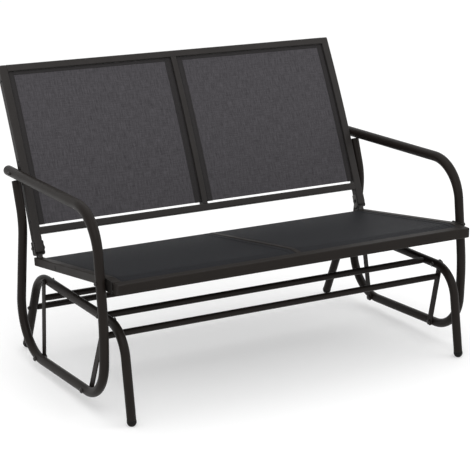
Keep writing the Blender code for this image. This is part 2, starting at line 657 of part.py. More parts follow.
# ---------------------------------------------------------------- seat
def seat_top_run(rear_y, front_y):
    """Top line of the seat frame, rising to a crest and falling over it to the front rail."""
    crest_y = FRONT_RAIL_BACK_Y + SEAT_LIP
    rear_top = SEAT_CREST_TOP - (rear_y - crest_y) * math.tan(SEAT_RISE)
    fall = SEAT_LIP_DROP * (crest_y - front_y) / SEAT_LIP
    return rounded_run([Vector((rear_y, rear_top)), Vector((crest_y, SEAT_CREST_TOP)),
                        Vector((front_y, SEAT_CREST_TOP - fall))], (SEAT_LIP_BEND,),
                       math.radians(3.0))


def seat_strip(name, x, width, rear_y, front_y, below, height, paint, edge):
    """A bar of the seat that follows its top line, a distance below it."""
    run = seat_top_run(rear_y, front_y)
    outline = strip_outline(run, -below, -(below + height), run[0])
    return plate(name, side_frame(x, run[0]), outline, width, paint, edge)


def make_seat_frame():
    """Front, rear, side and centre rails of the seat."""
    front_y = FRONT_RAIL_BACK_Y + GAP
    for side_name, side in SIDES:
        rail = seat_strip("seat_side_rail_" + side_name, side * RAIL_X, RAIL, SEAT_REAR_Y, front_y,
                          0.0, RAIL, FRAME_PAINT, RAIL_EDGE)
        bore_side_rail(rail, side, SEAT_BOLT)
    front = Vector(((SEAT_FRONT_Y + FRONT_RAIL_BACK_Y) * HALF, SEAT_FRONT_TOP - FRONT_RAIL_HEIGHT * HALF))
    box("seat_front_rail", 0.0, front, (FRAME_HALF * 2.0, FRONT_RAIL_DEPTH, FRONT_RAIL_HEIGHT), 0.0,
        FRAME_PAINT)
    inner = FRAME_HALF - RAIL - GAP
    slope = Vector((-math.cos(SEAT_RISE), math.sin(SEAT_RISE)))
    down = Vector((-math.sin(SEAT_RISE), -math.cos(SEAT_RISE)))
    rear = (Vector((SEAT_REAR_Y, SEAT_REAR_TOP)) + slope * RAIL * HALF
            + down * (RAIL * HALF + REAR_RAIL_DROP))
    box("seat_rear_rail", 0.0, rear, (inner * 2.0, RAIL, RAIL - REAR_RAIL_DROP), SEAT_RISE,
        FRAME_PAINT)
    rear_inner = SEAT_REAR_Y - (RAIL + REAR_RAIL_DROP) / math.cos(SEAT_RISE) - RAIL * math.sin(SEAT_RISE)
    seat_strip("seat_centre_rail", 0.0, CENTRE_RAIL, rear_inner, front_y, 0.0, RAIL, FRAME_PAINT,
               RAIL_EDGE)


def make_seat_slings():
    """Two sling panels between the side rails and the centre rail."""
    outer = FRAME_HALF - RAIL - GAP
    inner = CENTRE_RAIL * HALF + GAP
    for side_name, side in SIDES:
        seat_strip("seat_sling_" + side_name, side * (outer + inner) * HALF, outer - inner,
                   SEAT_SLING_REAR, FRONT_RAIL_BACK_Y + SEAT_SLING_GAP, SEAT_SLING_DEPTH, SLING,
                   SEAT_MESH, None)


def make_seat_spacers():
    """Plates that fill the gap between the seat's side rails and the loops' front uprights."""
    thickness = LOOP_INNER_X - FRAME_HALF - 2.0 * GAP
    front_y = FRONT_RAIL_BACK_Y + SPACER_FRONT_GAP
    centre = Vector((front_y + SPACER_LENGTH * HALF, SEAT_BOLT.y - (SPACER_HEIGHT - RAIL) * HALF))
    for side_name, side in SIDES:
        x = side * (FRAME_HALF + GAP + thickness * HALF)
        spacer = box("arm_spacer_" + side_name, x, centre, (thickness, SPACER_LENGTH, SPACER_HEIGHT),
                     0.0, CAP_PLASTIC, 0.001)
        bore(spacer, SEAT_BOLT, side * RAIL_X, side * LOOP_X, FRAME_SHANK + 2.0 * BORE_PLAY)
        frame_bolt("arm_seat_bolt_" + side_name, side, SEAT_BOLT, LOOP_X + LOOP_TUBE * HALF + GAP)


# ---------------------------------------------------------------- backrest
def back_run(low, high, count=8):
    """Points of the backrest's arc between two distances from the rails' lower ends."""
    return [back_point(low + (high - low) * index / count) for index in range(count + 1)]


def make_back_frame():
    """Side rails, cross rails and centre rail of the backrest."""
    half = RAIL * HALF
    run = back_run(0.0, BACK_LENGTH)
    for side_name, side in SIDES:
        rail = plate("back_side_rail_" + side_name, side_frame(side * RAIL_X, HINGE),
                     strip_outline(run, -half, half, HINGE), RAIL, FRAME_PAINT, RAIL_EDGE)
        bore_side_rail(rail, side, ARM_BOLT)
        bore(rail, HINGE, side * (RAIL_X - RAIL), side * (RAIL_X + RAIL),
             FRAME_SHANK + 2.0 * BORE_PLAY)
    inner = FRAME_HALF - RAIL - GAP
    low = BACK_RAIL_RISE + CROSS_RAIL * HALF
    high = BACK_LENGTH - CROSS_RAIL * HALF
    for name, along in (("back_bottom_rail", low), ("back_top_rail", high)):
        box(name, 0.0, back_point(along), (inner * 2.0, RAIL, CROSS_RAIL), back_lean(along), FRAME_PAINT)
    clear = CROSS_RAIL * HALF + GAP + half * CROSS_RAIL * BACK_CURVE
    run = back_run(low + clear, high - clear)
    plate("back_centre_rail", side_frame(0.0, HINGE), strip_outline(run, -half, half, HINGE),
          CENTRE_RAIL, FRAME_PAINT, RAIL_EDGE)


def make_back_slings():
    """Two sling panels, set back from the rails' front faces, open above the bottom rail."""
    outer = FRAME_HALF - RAIL - GAP
    inner = CENTRE_RAIL * HALF + GAP
    run = back_run(BACK_RAIL_RISE + CROSS_RAIL + SLING_GAP_LOW, BACK_LENGTH - CROSS_RAIL - SLING_GAP_TOP)
    front = BACK_SLING_DEPTH - RAIL * HALF
    for side_name, side in SIDES:
        x = side * (outer + inner) * HALF
        plate("back_sling_" + side_name, side_frame(x, HINGE),
              strip_outline(run, front, front + SLING, HINGE), outer - inner, BACK_MESH)


def make_arm_back_bolts():
    """Bolts through the armrests and the backrest's side rails."""
    for side_name, side in SIDES:
        frame_bolt("arm_back_bolt_" + side_name, side, ARM_BOLT, LOOP_X + ARMREST_TUBE * HALF + GAP)


# ---------------------------------------------------------------- hinges of the backrest
def make_clevis(side_name, side):
    """A U bracket on a short neck, standing on the seat's rear corner around the back rail's end."""
    inner = RAIL * HALF + FACE_GAP
    outer = inner + CLEVIS_PLATE
    web_top = -(HINGE_FROM_END + CLEVIS_WINDOW)
    web_low = web_top - CLEVIS_PLATE
    neck = CLEVIS_NECK * HALF
    below_seat = -(HINGE_UP + RAIL)
    arc = [math.radians(30.0 * step) for step in range(4)]
    right = [Vector((neck, below_seat)), Vector((neck, web_low - GAP))]
    right += [Vector((outer - CLEVIS_ROUND + CLEVIS_ROUND * math.sin(turn),
                      web_low + CLEVIS_ROUND - CLEVIS_ROUND * math.cos(turn))) for turn in arc]
    right += [Vector((outer, CLEVIS_RISE)), Vector((inner, CLEVIS_RISE)), Vector((inner, web_top))]
    outline = right + [Vector((-point.x, point.y)) for point in reversed(right)]
    turn = Matrix.Rotation(-BACK_LEAN_LOW, 4, "X") @ Matrix.Rotation(math.radians(90.0), 4, "X")
    place = Matrix.Translation(world(side * RAIL_X, HINGE)) @ turn
    clevis = plate("hinge_clevis_" + side_name, place, outline, CLEVIS_DEPTH, BOLT_STEEL)
    seat_top = Vector((SEAT_REAR_Y, SEAT_REAR_TOP))
    down = Vector((-math.sin(SEAT_RISE), -math.cos(SEAT_RISE)))
    block = RAIL * 4.0
    floor = box(clevis.name + "_floor", side * RAIL_X, seat_top + down * (block * HALF - GAP),
                (block, block * 2.0, block), SEAT_RISE, None, None, CUTTERS)
    cut(clevis, floor)
    bore(clevis, HINGE, side * (RAIL_X - RAIL), side * (RAIL_X + RAIL), FRAME_SHANK + 2.0 * BORE_PLAY)
    head_x = RAIL_X + outer + GAP
    bolt("hinge_bolt_" + side_name, side, HINGE, head_x, 2.0 * (outer + GAP), FRAME_SHANK)
    return clevis


# ---------------------------------------------------------------- joints
def hang_on_pivot(name, pivot, prefixes):
    """Parent a moving body's pieces to an empty on its joint's axis, leaving them where they are."""
    empty = bpy.data.objects.new(name, None)
    empty.empty_display_size = LINK_WIDTH
    empty.matrix_world = Matrix.Translation(world(0.0, pivot))
    PARTS.objects.link(empty)
    for item in PARTS.objects:
        if item.type == "MESH" and item.name.startswith(prefixes):
            item.parent = empty
            item.matrix_parent_inverse = Matrix.Translation(-world(0.0, pivot))


# ---------------------------------------------------------------- the whole bench
make_base()
make_links()
make_arms()
make_seat_frame()
make_seat_slings()
make_seat_spacers()
make_back_frame()
make_back_slings()
make_arm_back_bolts()
for clevis_name, clevis_side in SIDES:
    make_clevis(clevis_name, clevis_side)
hang_on_pivot("front_link_pivot", FRONT_TOP_PIVOT, ("front_link",))
hang_on_pivot("rear_link_pivot", REAR_TOP_PIVOT, ("rear_link",))
hang_on_pivot("swing_pivot", REAR_LOW_PIVOT, ("arm", "seat", "back", "hinge", "low_pivot"))
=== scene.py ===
"""Looks of a two-seat glider bench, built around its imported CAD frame.

Metres, +Z up. The seat looks towards -Y and +X is the viewer's right. A side-view point is (y, z).
Every new piece is a grid of points worked out with numpy from two parameters, one along the piece
and one around or across it.
"""
import math

import bpy
import numpy as np
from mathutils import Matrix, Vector


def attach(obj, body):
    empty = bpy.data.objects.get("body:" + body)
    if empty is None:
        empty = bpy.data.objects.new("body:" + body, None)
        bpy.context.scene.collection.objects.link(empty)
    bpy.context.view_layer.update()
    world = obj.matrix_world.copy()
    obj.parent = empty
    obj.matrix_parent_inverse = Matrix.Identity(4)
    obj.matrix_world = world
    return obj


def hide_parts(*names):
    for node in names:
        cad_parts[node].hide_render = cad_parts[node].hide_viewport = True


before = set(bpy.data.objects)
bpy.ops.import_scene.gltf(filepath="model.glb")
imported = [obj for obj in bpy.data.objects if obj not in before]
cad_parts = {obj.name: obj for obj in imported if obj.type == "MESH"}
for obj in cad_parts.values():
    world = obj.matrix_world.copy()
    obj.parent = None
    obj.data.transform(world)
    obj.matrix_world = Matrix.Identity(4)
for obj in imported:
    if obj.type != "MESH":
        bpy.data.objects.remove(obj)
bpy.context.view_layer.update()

# ---------------------------------------------------------------- places on the frame
SIDES = (("left", -1.0), ("right", 1.0))
X_AXIS, Y_AXIS, Z_AXIS = np.eye(3)

HOOP_X = 0.548
LOOP_X = 0.5955
RAIL_X = 0.56525
FRAME_HALF = 0.57775
LINK_TOP_X = 0.5635
LINK_LOW_X = 0.5795

HOOP_CORNERS = ((-0.40204, 0.01674), (-0.36020, 0.26150), (0.21467, 0.26150), (0.32379, 0.01643))
HOOP_BENDS = (0.095, 0.095)
FRONT_FOOT, FRONT_LEG_LEAN = (-0.40276, 0.0125), math.radians(9.7)
REAR_FOOT, REAR_LEG_LEAN = (0.32554, 0.0125), math.radians(-24.0)
FRONT_BASE_RAIL, REAR_BASE_RAIL = (-0.22790, 0.26150), (0.26699, 0.14400)
FRONT_TOP_PIVOT, REAR_TOP_PIVOT = (-0.27790, 0.26150), (0.14007, 0.26150)
FRONT_LOW_PIVOT, REAR_LOW_PIVOT = (-0.21404, 0.05000), (0.11664, 0.03850)
LINK_RAIL_DROP = 0.048

LOOP_CORNERS = ((0.30103, 0.56712), (-0.30199, 0.57554), (-0.34204, 0.26722), (-0.33534, 0.05422),
                (0.26136, 0.03347), (0.20469, 0.43170), (0.24703, 0.54801))
LOOP_BENDS = (0.126, 0.680, 0.120, 0.140, 0.186)
ARMREST_RISE = math.radians(0.8)
ARM_BOLT, SEAT_BOLT = (0.25953, 0.56770), (-0.32626, 0.38870)

SEAT_REAR_Y, SEAT_FRONT_Y, FRONT_RAIL_BACK_Y = 0.17314, -0.39686, -0.36686
SEAT_REAR_TOP, SEAT_SLING_REAR, SEAT_CENTRE_REAR = 0.32920, 0.14488, 0.14082
SEAT_CREST_TOP, SEAT_FRONT_TOP = 0.4012, 0.3987
SEAT_RISE = math.radians(8.13)
SEAT_LIP, SEAT_LIP_DROP = 0.036, 0.0025
SEAT_SLING_DEPTH = 0.0016

HINGE, BACK_FOOT = (0.16974, 0.35760), (0.16497, 0.34550)
BACK_LEAN, BACK_CURVE, BACK_LENGTH = math.radians(21.5), 0.22431, 0.568

RAIL, CROSS_RAIL, CENTRE_RAIL = 0.025, 0.021, 0.018
FRONT_RAIL_DEPTH, FRONT_RAIL_HEIGHT = 0.030, 0.0305
REAR_RAIL_DROP = 0.0035
RAIL_EDGE = 0.0030
CLEAR = 0.0003

HOOP_TUBE, LOOP_TUBE, ARMREST_TUBE, CROSSBAR_TUBE = 0.026, 0.027, 0.0305, 0.019
LINK_WIDTH, LINK_PLATE = 0.022, 0.004
FOOT_RADIUS = 0.0135
PIVOT_SHANK, FRAME_SHANK = 0.008, 0.006
BACK_LOW_RAIL, BACK_TOP_RAIL = 0.0625, 0.5575
BACK_CENTRE_ENDS = (0.0734, 0.5466)
BACK_CLOTH_ENDS = (0.0800, 0.5365)
CLOTH, CLOTH_SAG = 0.0012, 0.0022


def along_back(along, behind=0.0):
    """Side-view points of the backrest's arc: its foot plus the integral of (sin, cos) of a lean
    that grows evenly with the distance along, moved back by a distance at right angles to it."""
    along = np.asarray(along, float)
    lean = BACK_LEAN + BACK_CURVE * along
    y = BACK_FOOT[0] + (math.cos(BACK_LEAN) - np.cos(lean)) / BACK_CURVE + behind * np.cos(lean)
    z = BACK_FOOT[1] + (np.sin(lean) - math.sin(BACK_LEAN)) / BACK_CURVE - behind * np.sin(lean)
    return np.stack([y, z], -1)


def seat_top(y):
    """Height of the seat's top line: a straight rise to a crest and a short fall over the front,
    joined by the smooth minimum of the two lines."""
    crest = FRONT_RAIL_BACK_Y + SEAT_LIP
    rise = SEAT_CREST_TOP - (y - crest) * math.tan(SEAT_RISE)
    fall = SEAT_CREST_TOP + (y - crest) * SEAT_LIP_DROP / SEAT_LIP
    soft = 0.0006
    return -soft * np.log(np.exp(-(rise - 0.4) / soft) + np.exp(-(fall - 0.4) / soft)) + 0.4


# ---------------------------------------------------------------- surfaces
def unit(vectors):
    """Vectors divided by their lengths."""
    vectors = np.asarray(vectors, float)
    return vectors / np.linalg.norm(vectors, axis=-1, keepdims=True)


def bent_run(corners, bends, step=math.radians(3.0)):
    """Side-view points of a bent tube's axis: straight legs, and round each inner corner
    centre + arm turned by an angle, where the arm touches both legs."""
    corners = np.array(corners, float)
    runs = [corners[:1]]
    for before, corner, after, radius in zip(corners, corners[1:], corners[2:], bends):
        arrive, leave = unit(corner - before), unit(after - corner)
        turn = math.atan2(arrive[0] * leave[1] - arrive[1] * leave[0], arrive @ leave)
        start = corner - arrive * radius * math.tan(abs(turn) / 2)
        centre = start + np.array([-arrive[1], arrive[0]]) * math.copysign(radius, turn)
        angle = np.linspace(0.0, turn, 2 + int(abs(turn) / step))[:, None]
        arm = start - centre
        runs.append(centre + arm * np.cos(angle) + np.array([-arm[1], arm[0]]) * np.sin(angle))
    runs.append(corners[-1:])
    return np.concatenate(runs)


def evenly(points, spacing):
    """The same line with points about a spacing apart, found by straight interpolation."""
    points = np.asarray(points, float)
    along = np.concatenate([[0.0], np.cumsum(np.linalg.norm(np.diff(points, axis=0), axis=1))])
    at = np.linspace(0.0, along[-1], max(3, int(along[-1] / spacing) + 1))
    return np.stack([np.interp(at, along, column) for column in points.T], -1)


def side_path(x, run):
    """Points in space of a side-view run at a constant x."""
    return np.column_stack([np.full(len(run), x), run])


def circle(radius, count=40):
    """Section of a round tube: radius * (cos, sin) of an even angle."""
    angle = np.arange(count) * 2.0 * math.pi / count
    return np.stack([np.cos(angle), np.sin(angle)], -1) * radius


def rounded_box(width, height, corner, steps=4, support=0.0006):
    """Section of a square tube: four quarter circles about inset corners, each with one more
    point on either flat beside it, so that the flats shade flat."""
    angle = np.linspace(0.0, math.pi / 2, steps + 1)
    quarter = np.stack([np.cos(angle), np.sin(angle)], -1) * corner
    quarter = np.vstack([quarter[:1] - [0.0, support], quarter, quarter[-1:] - [support, 0.0]])
    centre = np.array([width / 2 - corner, height / 2 - corner])
    turns = []
    for number in range(4):
        cosine, sine = round(math.cos(number * math.pi / 2)), round(math.sin(number * math.pi / 2))
        turned_quarter = quarter @ np.array([[cosine, sine], [-sine, cosine]])
        signs = np.array([cosine - sine, sine + cosine])
        turns.append(turned_quarter + centre * signs)
    return np.vstack(turns)


def ring_faces(rows, columns):
    """Quads between neighbouring closed rings, with a fan from a point at either end."""
    row, column = np.meshgrid(np.arange(rows - 1), np.arange(columns), indexing="ij")
    after = (column + 1) % columns
    low = 1 + row * columns
    quads = np.stack([low + column, low + after, low + columns + after, low + columns + column], -1)
    ring = np.arange(columns)
    first = np.stack([np.zeros_like(ring), 1 + (ring + 1) % columns, 1 + ring], -1)
    last = 1 + (rows - 1) * columns
    end = np.stack([np.full_like(ring, last + columns), last + ring, last + (ring + 1) % columns], -1)
    return quads.reshape(-1, 4).tolist() + first.tolist() + end.tolist()


def swept(path, section, across, sizes=None, ends=0.0012, steps=3):
    """A section carried along a path: path + (side * section x + up * section y) * size.

    side is the constant direction across, and up is the tangent x side. Each end is a quarter
    round: a ring goes out by ends * sin and in by ends * (1 - cos), and then meets in a point.
    """
    path = np.array(path, float)
    sizes = np.ones(len(path)) if sizes is None else sizes
    tangent = unit(np.gradient(path, axis=0))
    side = unit(across - (tangent @ across)[:, None] * tangent)
    half = np.abs(section).max(0)
    angle = np.linspace(0.0, math.pi / 2, steps + 1)[1:]
    shrink = (half - ends * (1.0 - np.cos(angle))[:, None]) / half
    out = ends * np.sin(angle)
    path[0] += tangent[0] * ends
    path[-1] -= tangent[-1] * ends
    before = path[0] - tangent[0] * out[::-1, None]
    behind = path[-1] + tangent[-1] * out[:, None]
    centres = np.vstack([before, path, behind])
    scale = np.vstack([shrink[::-1] * sizes[0], np.stack([sizes, sizes], -1), shrink * sizes[-1]])
    up = np.cross(tangent, side)
    side, up = (np.vstack([np.repeat(rows[:1], steps, 0), rows, np.repeat(rows[-1:], steps, 0)])
                for rows in (side, up))
    flat = section[None] * scale[:, None]
    rings = centres[:, None] + side[:, None] * flat[..., :1] + up[:, None] * flat[..., 1:]
    points = np.vstack([centres[:1], rings.reshape(-1, 3), centres[-1:]])
    return points, ring_faces(len(rings), len(section))


def turned(origin, axis, profile, columns=48):
    """A solid turned about an axis: origin + axis * height + (cos, sin) of an even angle * radius.

    A profile row is (height, radius, hexagon). Where hexagon is 1 the radius is to the flats, and
    is divided by the cosine of the angle from the nearest flat's middle; 0 is round.
    """
    axis = unit(axis)
    helper = Z_AXIS if abs(axis[2]) < 0.9 else X_AXIS
    first = unit(np.cross(axis, helper))
    second = np.cross(axis, first)
    height, radius, hexagon = np.array(profile, float).T
    angle = np.arange(columns) * 2.0 * math.pi / columns
    flat = 1.0 / np.cos((angle + math.pi / 6) % (math.pi / 3) - math.pi / 6)
    reach = radius[:, None] * (1.0 + hexagon[:, None] * (flat - 1.0))
    around = first * np.cos(angle)[:, None] + second * np.sin(angle)[:, None]
    rings = np.asarray(origin) + axis * height[:, None, None] + around * reach[..., None]
    ends = np.asarray(origin) + axis * height[[0, -1], None]
    points = np.vstack([ends[:1], rings.reshape(-1, 3), ends[1:]])
    return points, ring_faces(len(rings), columns)


def flat_plate(outline, place, directions, thickness, edge=0.0008, steps=3):
    """A flat plate with rounded rims: outline - normal * inset, at a height, over the rim's angle.

    The inset is edge * (1 - sin) and the height (thickness / 2 - edge) + edge * cos of the angle
    from either face. One more ring lies on each face, and a single face closes it.
    """
    outline = np.asarray(outline, float)
    before, after = np.roll(outline, 1, 0), np.roll(outline, -1, 0)
    first, second = unit(outline - before), unit(after - outline)
    normal = np.stack([first[:, 1] + second[:, 1], -first[:, 0] - second[:, 0]], -1)
    normal /= (1.0 + (first * second).sum(1))[:, None]
    angle = np.linspace(0.0, math.pi / 2, steps + 1)
    inset = edge * (1.0 - np.sin(angle))
    height = thickness / 2 - edge + edge * np.cos(angle)
    inset = np.concatenate([[inset[0] + 0.0005], inset, inset[::-1], [inset[0] + 0.0005]])
    height = np.concatenate([[height[0]], height, -height[::-1], [-height[0]]])
    area = (outline[:, 0] * after[:, 1] - outline[:, 1] * after[:, 0]).sum()
    shape = outline[None] - normal[None] * (inset * math.copysign(1.0, area))[:, None, None]
    right, up, out = directions
    points = (np.asarray(place) + right * shape[..., :1] + up * shape[..., 1:]
              + out * height[:, None, None])
    rows, columns = shape.shape[:2]
    faces = np.array(ring_faces(rows, columns)[:(rows - 1) * columns]) - 1
    caps = [list(range(columns))[::-1], list(range((rows - 1) * columns, rows * columns))]
    return points.reshape(-1, 3), faces.tolist() + caps


def thin_shell(top, thickness, up):
    """A sheet's grid of points and the same grid a thickness below it, closed round the rim."""
    rows, columns = top.shape[:2]
    points = np.vstack([top.reshape(-1, 3), (top - up * thickness).reshape(-1, 3)])
    row, column = np.meshgrid(np.arange(rows - 1), np.arange(columns - 1), indexing="ij")
    low = row * columns + column
    upper = np.stack([low, low + 1, low + columns + 1, low + columns], -1).reshape(-1, 4)
    count = rows * columns
    lower = upper[:, ::-1] + count
    index = np.arange(count).reshape(rows, columns)
    rim = np.concatenate([index[0], index[1:, -1], index[-1, -2::-1], index[-2:0:-1, 0]])
    after = np.roll(rim, -1)
    wall = np.stack([rim, rim + count, after + count, after], -1)
    return points, upper.tolist() + lower.tolist() + wall.tolist()


def band_rows(half, rise, count=8):
    """Section of a sewn hem: a flat underside and an upper side that rises by a superellipse."""
    across = np.linspace(-1.0, 1.0, 2 * count + 1)
    crown = rise * (1.0 - np.abs(across) ** 6) ** 0.5
    return np.vstack([np.stack([across * half, crown], -1),
                      np.stack([across[-2:0:-1] * half, -0.0003 * np.ones(2 * count - 1)], -1)])


# ---------------------------------------------------------------- pieces
def outward(points, faces):
    """The faces, turned round if the solid's signed volume is negative."""
    fans = [(face[0], face[step], face[step + 1]) for face in faces for step in range(1, len(face) - 1)]
    a, b, c = (points[np.array(fans)[:, corner]] for corner in range(3))
    volume = (a * np.cross(b, c)).sum()
    return faces if volume > 0.0 else [face[::-1] for face in faces]


def piece(name, shape, finish, body, stands_for=(), flat=None, sharp=38.0):
    """A new piece of the bench: a closed mesh with a finish that moves with a body.

    flat holds each point's place on the flat cloth, in metres, as the piece's UV map.
    """
    points, faces = shape
    faces = outward(points, faces)
    mesh = bpy.data.meshes.new(name)
    mesh.from_pydata(points.tolist(), [], faces)
    mesh.shade_smooth()
    mesh.set_sharp_from_angle(angle=math.radians(sharp))
    if flat is not None:
        corner = np.zeros(len(mesh.loops), int)
        mesh.loops.foreach_get("vertex_index", corner)
        mesh.uv_layers.new(name="cloth").data.foreach_set("uv", np.asarray(flat, float)[corner].ravel())
    mesh.materials.append(finish)
    item = bpy.data.objects.new(name, mesh)
    bpy.context.scene.collection.objects.link(item)
    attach(item, body)
    if stands_for:
        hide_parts(*stands_for)
    return item


# ---------------------------------------------------------------- finishes
def node(tree, kind, values=None, **settings):
    """A node of this kind, with its settings and the values of its named or numbered inputs."""
    made = tree.nodes.new(kind)
    for key, value in settings.items():
        setattr(made, key, value)
    for key, value in (values or {}).items():
        made.inputs[key].default_value = value
    return made


def link(tree, source, target):
    """Join an output socket to an input socket."""
    tree.links.new(source, target)


def new_group(name, inputs, outputs):
    """A shader node group with named sockets, and its input and output nodes."""
    group = bpy.data.node_groups.new(name, "ShaderNodeTree")
    for label, kind, value in inputs:
        socket = group.interface.new_socket(label, in_out="INPUT", socket_type="NodeSocket" + kind)
        socket.default_value = value
    for label, kind in outputs:
        group.interface.new_socket(label, in_out="OUTPUT", socket_type="NodeSocket" + kind)
    return group, group.nodes.new("NodeGroupInput"), group.nodes.new("NodeGroupOutput")


def math_node(tree, operation, first, second=None, third=None):
    """A Math node on sockets or numbers, giving its output."""
    made = node(tree, "ShaderNodeMath", operation=operation)
    for slot_number, value in enumerate((first, second, third)):
        if isinstance(value, (int, float)):
            made.inputs[slot_number].default_value = value
        elif value is not None:
            link(tree, value, made.inputs[slot_number])
    return made.outputs[0]


def spread(tree, value, low, high, to_low, to_high):
    """A Map Range node from low..high to to_low..to_high, giving its output."""
    made = node(tree, "ShaderNodeMapRange", {1: low, 2: high, 3: to_low, 4: to_high})
    link(tree, value, made.inputs[0])
    return made.outputs[0]


def tinted(tree, colour, share):
    """A colour made lighter or darker by a share, as colour * share."""
    made = node(tree, "ShaderNodeMix", data_type="RGBA", blend_type="MULTIPLY")
    made.inputs[0].default_value = 1.0
    link(tree, colour, made.inputs[6])
    link(tree, share, made.inputs[7])
    return made.outputs[2]


def coat_group():
    """Powder coat or moulded plastic: orange peel, mottling, dust on top and paler worn edges."""
    group, given, result = new_group(
        "coated_skin",
        [("Colour", "Color", (0.05, 0.05, 0.05, 1.0)), ("Roughness", "Float", 0.45),
         ("Peel size", "Float", 700.0), ("Mottle", "Float", 0.10), ("Dust", "Float", 0.10),
         ("Wear", "Float", 0.25)],
        [("Colour", "Color"), ("Roughness", "Float"), ("Height", "Float")])
    place = node(group, "ShaderNodeTexCoord")
    peel = node(group, "ShaderNodeTexNoise", {"Detail": 3.0, "Roughness": 0.55})
    link(group, place.outputs["Object"], peel.inputs["Vector"])
    link(group, given.outputs["Peel size"], peel.inputs["Scale"])
    mottle = node(group, "ShaderNodeTexNoise", {"Scale": 14.0, "Detail": 5.0, "Roughness": 0.6})
    link(group, place.outputs["Object"], mottle.inputs["Vector"])
    speck = node(group, "ShaderNodeTexNoise", {"Scale": 420.0, "Detail": 2.0})
    link(group, place.outputs["Object"], speck.inputs["Vector"])
    shape = node(group, "ShaderNodeNewGeometry")
    facing = node(group, "ShaderNodeSeparateXYZ")
    link(group, shape.outputs["Normal"], facing.inputs[0])
    swing = math_node(group, "MULTIPLY", spread(group, mottle.outputs["Fac"], 0.3, 0.7, -1.0, 1.0),
                      given.outputs["Mottle"])
    grain = spread(group, speck.outputs["Fac"], 0.3, 0.7, -0.03, 0.03)
    shade = math_node(group, "ADD", 1.0, math_node(group, "ADD", swing, grain))
    grey = node(group, "ShaderNodeCombineColor")
    for number in range(3):
        link(group, shade, grey.inputs[number])
    base = tinted(group, given.outputs["Colour"], grey.outputs[0])
    top = spread(group, facing.outputs["Z"], 0.55, 1.0, 0.0, 1.0)
    dusty = math_node(group, "MULTIPLY", math_node(group, "MULTIPLY", top, given.outputs["Dust"]),
                      spread(group, mottle.outputs["Fac"], 0.35, 0.65, 0.3, 1.0))
    dust = node(group, "ShaderNodeMix", {7: (0.115, 0.110, 0.105, 1.0)}, data_type="RGBA")
    link(group, dusty, dust.inputs[0])
    link(group, base, dust.inputs[6])
    edge = spread(group, shape.outputs["Pointiness"], 0.52, 0.60, 0.0, 1.0)
    worn = math_node(group, "MULTIPLY", math_node(group, "MULTIPLY", edge, given.outputs["Wear"]),
                     spread(group, speck.outputs["Fac"], 0.40, 0.60, 0.4, 1.0))
    wear = node(group, "ShaderNodeMix", {7: (0.135, 0.130, 0.125, 1.0)}, data_type="RGBA")
    link(group, worn, wear.inputs[0])
    link(group, dust.outputs[2], wear.inputs[6])
    rough = math_node(group, "ADD", given.outputs["Roughness"],
                      math_node(group, "ADD", math_node(group, "MULTIPLY", dusty, 0.8),
                                math_node(group, "MULTIPLY", swing, 0.4)))
    link(group, wear.outputs[2], result.inputs["Colour"])
    link(group, rough, result.inputs["Roughness"])
    link(group, peel.outputs["Fac"], result.inputs["Height"])
    return group


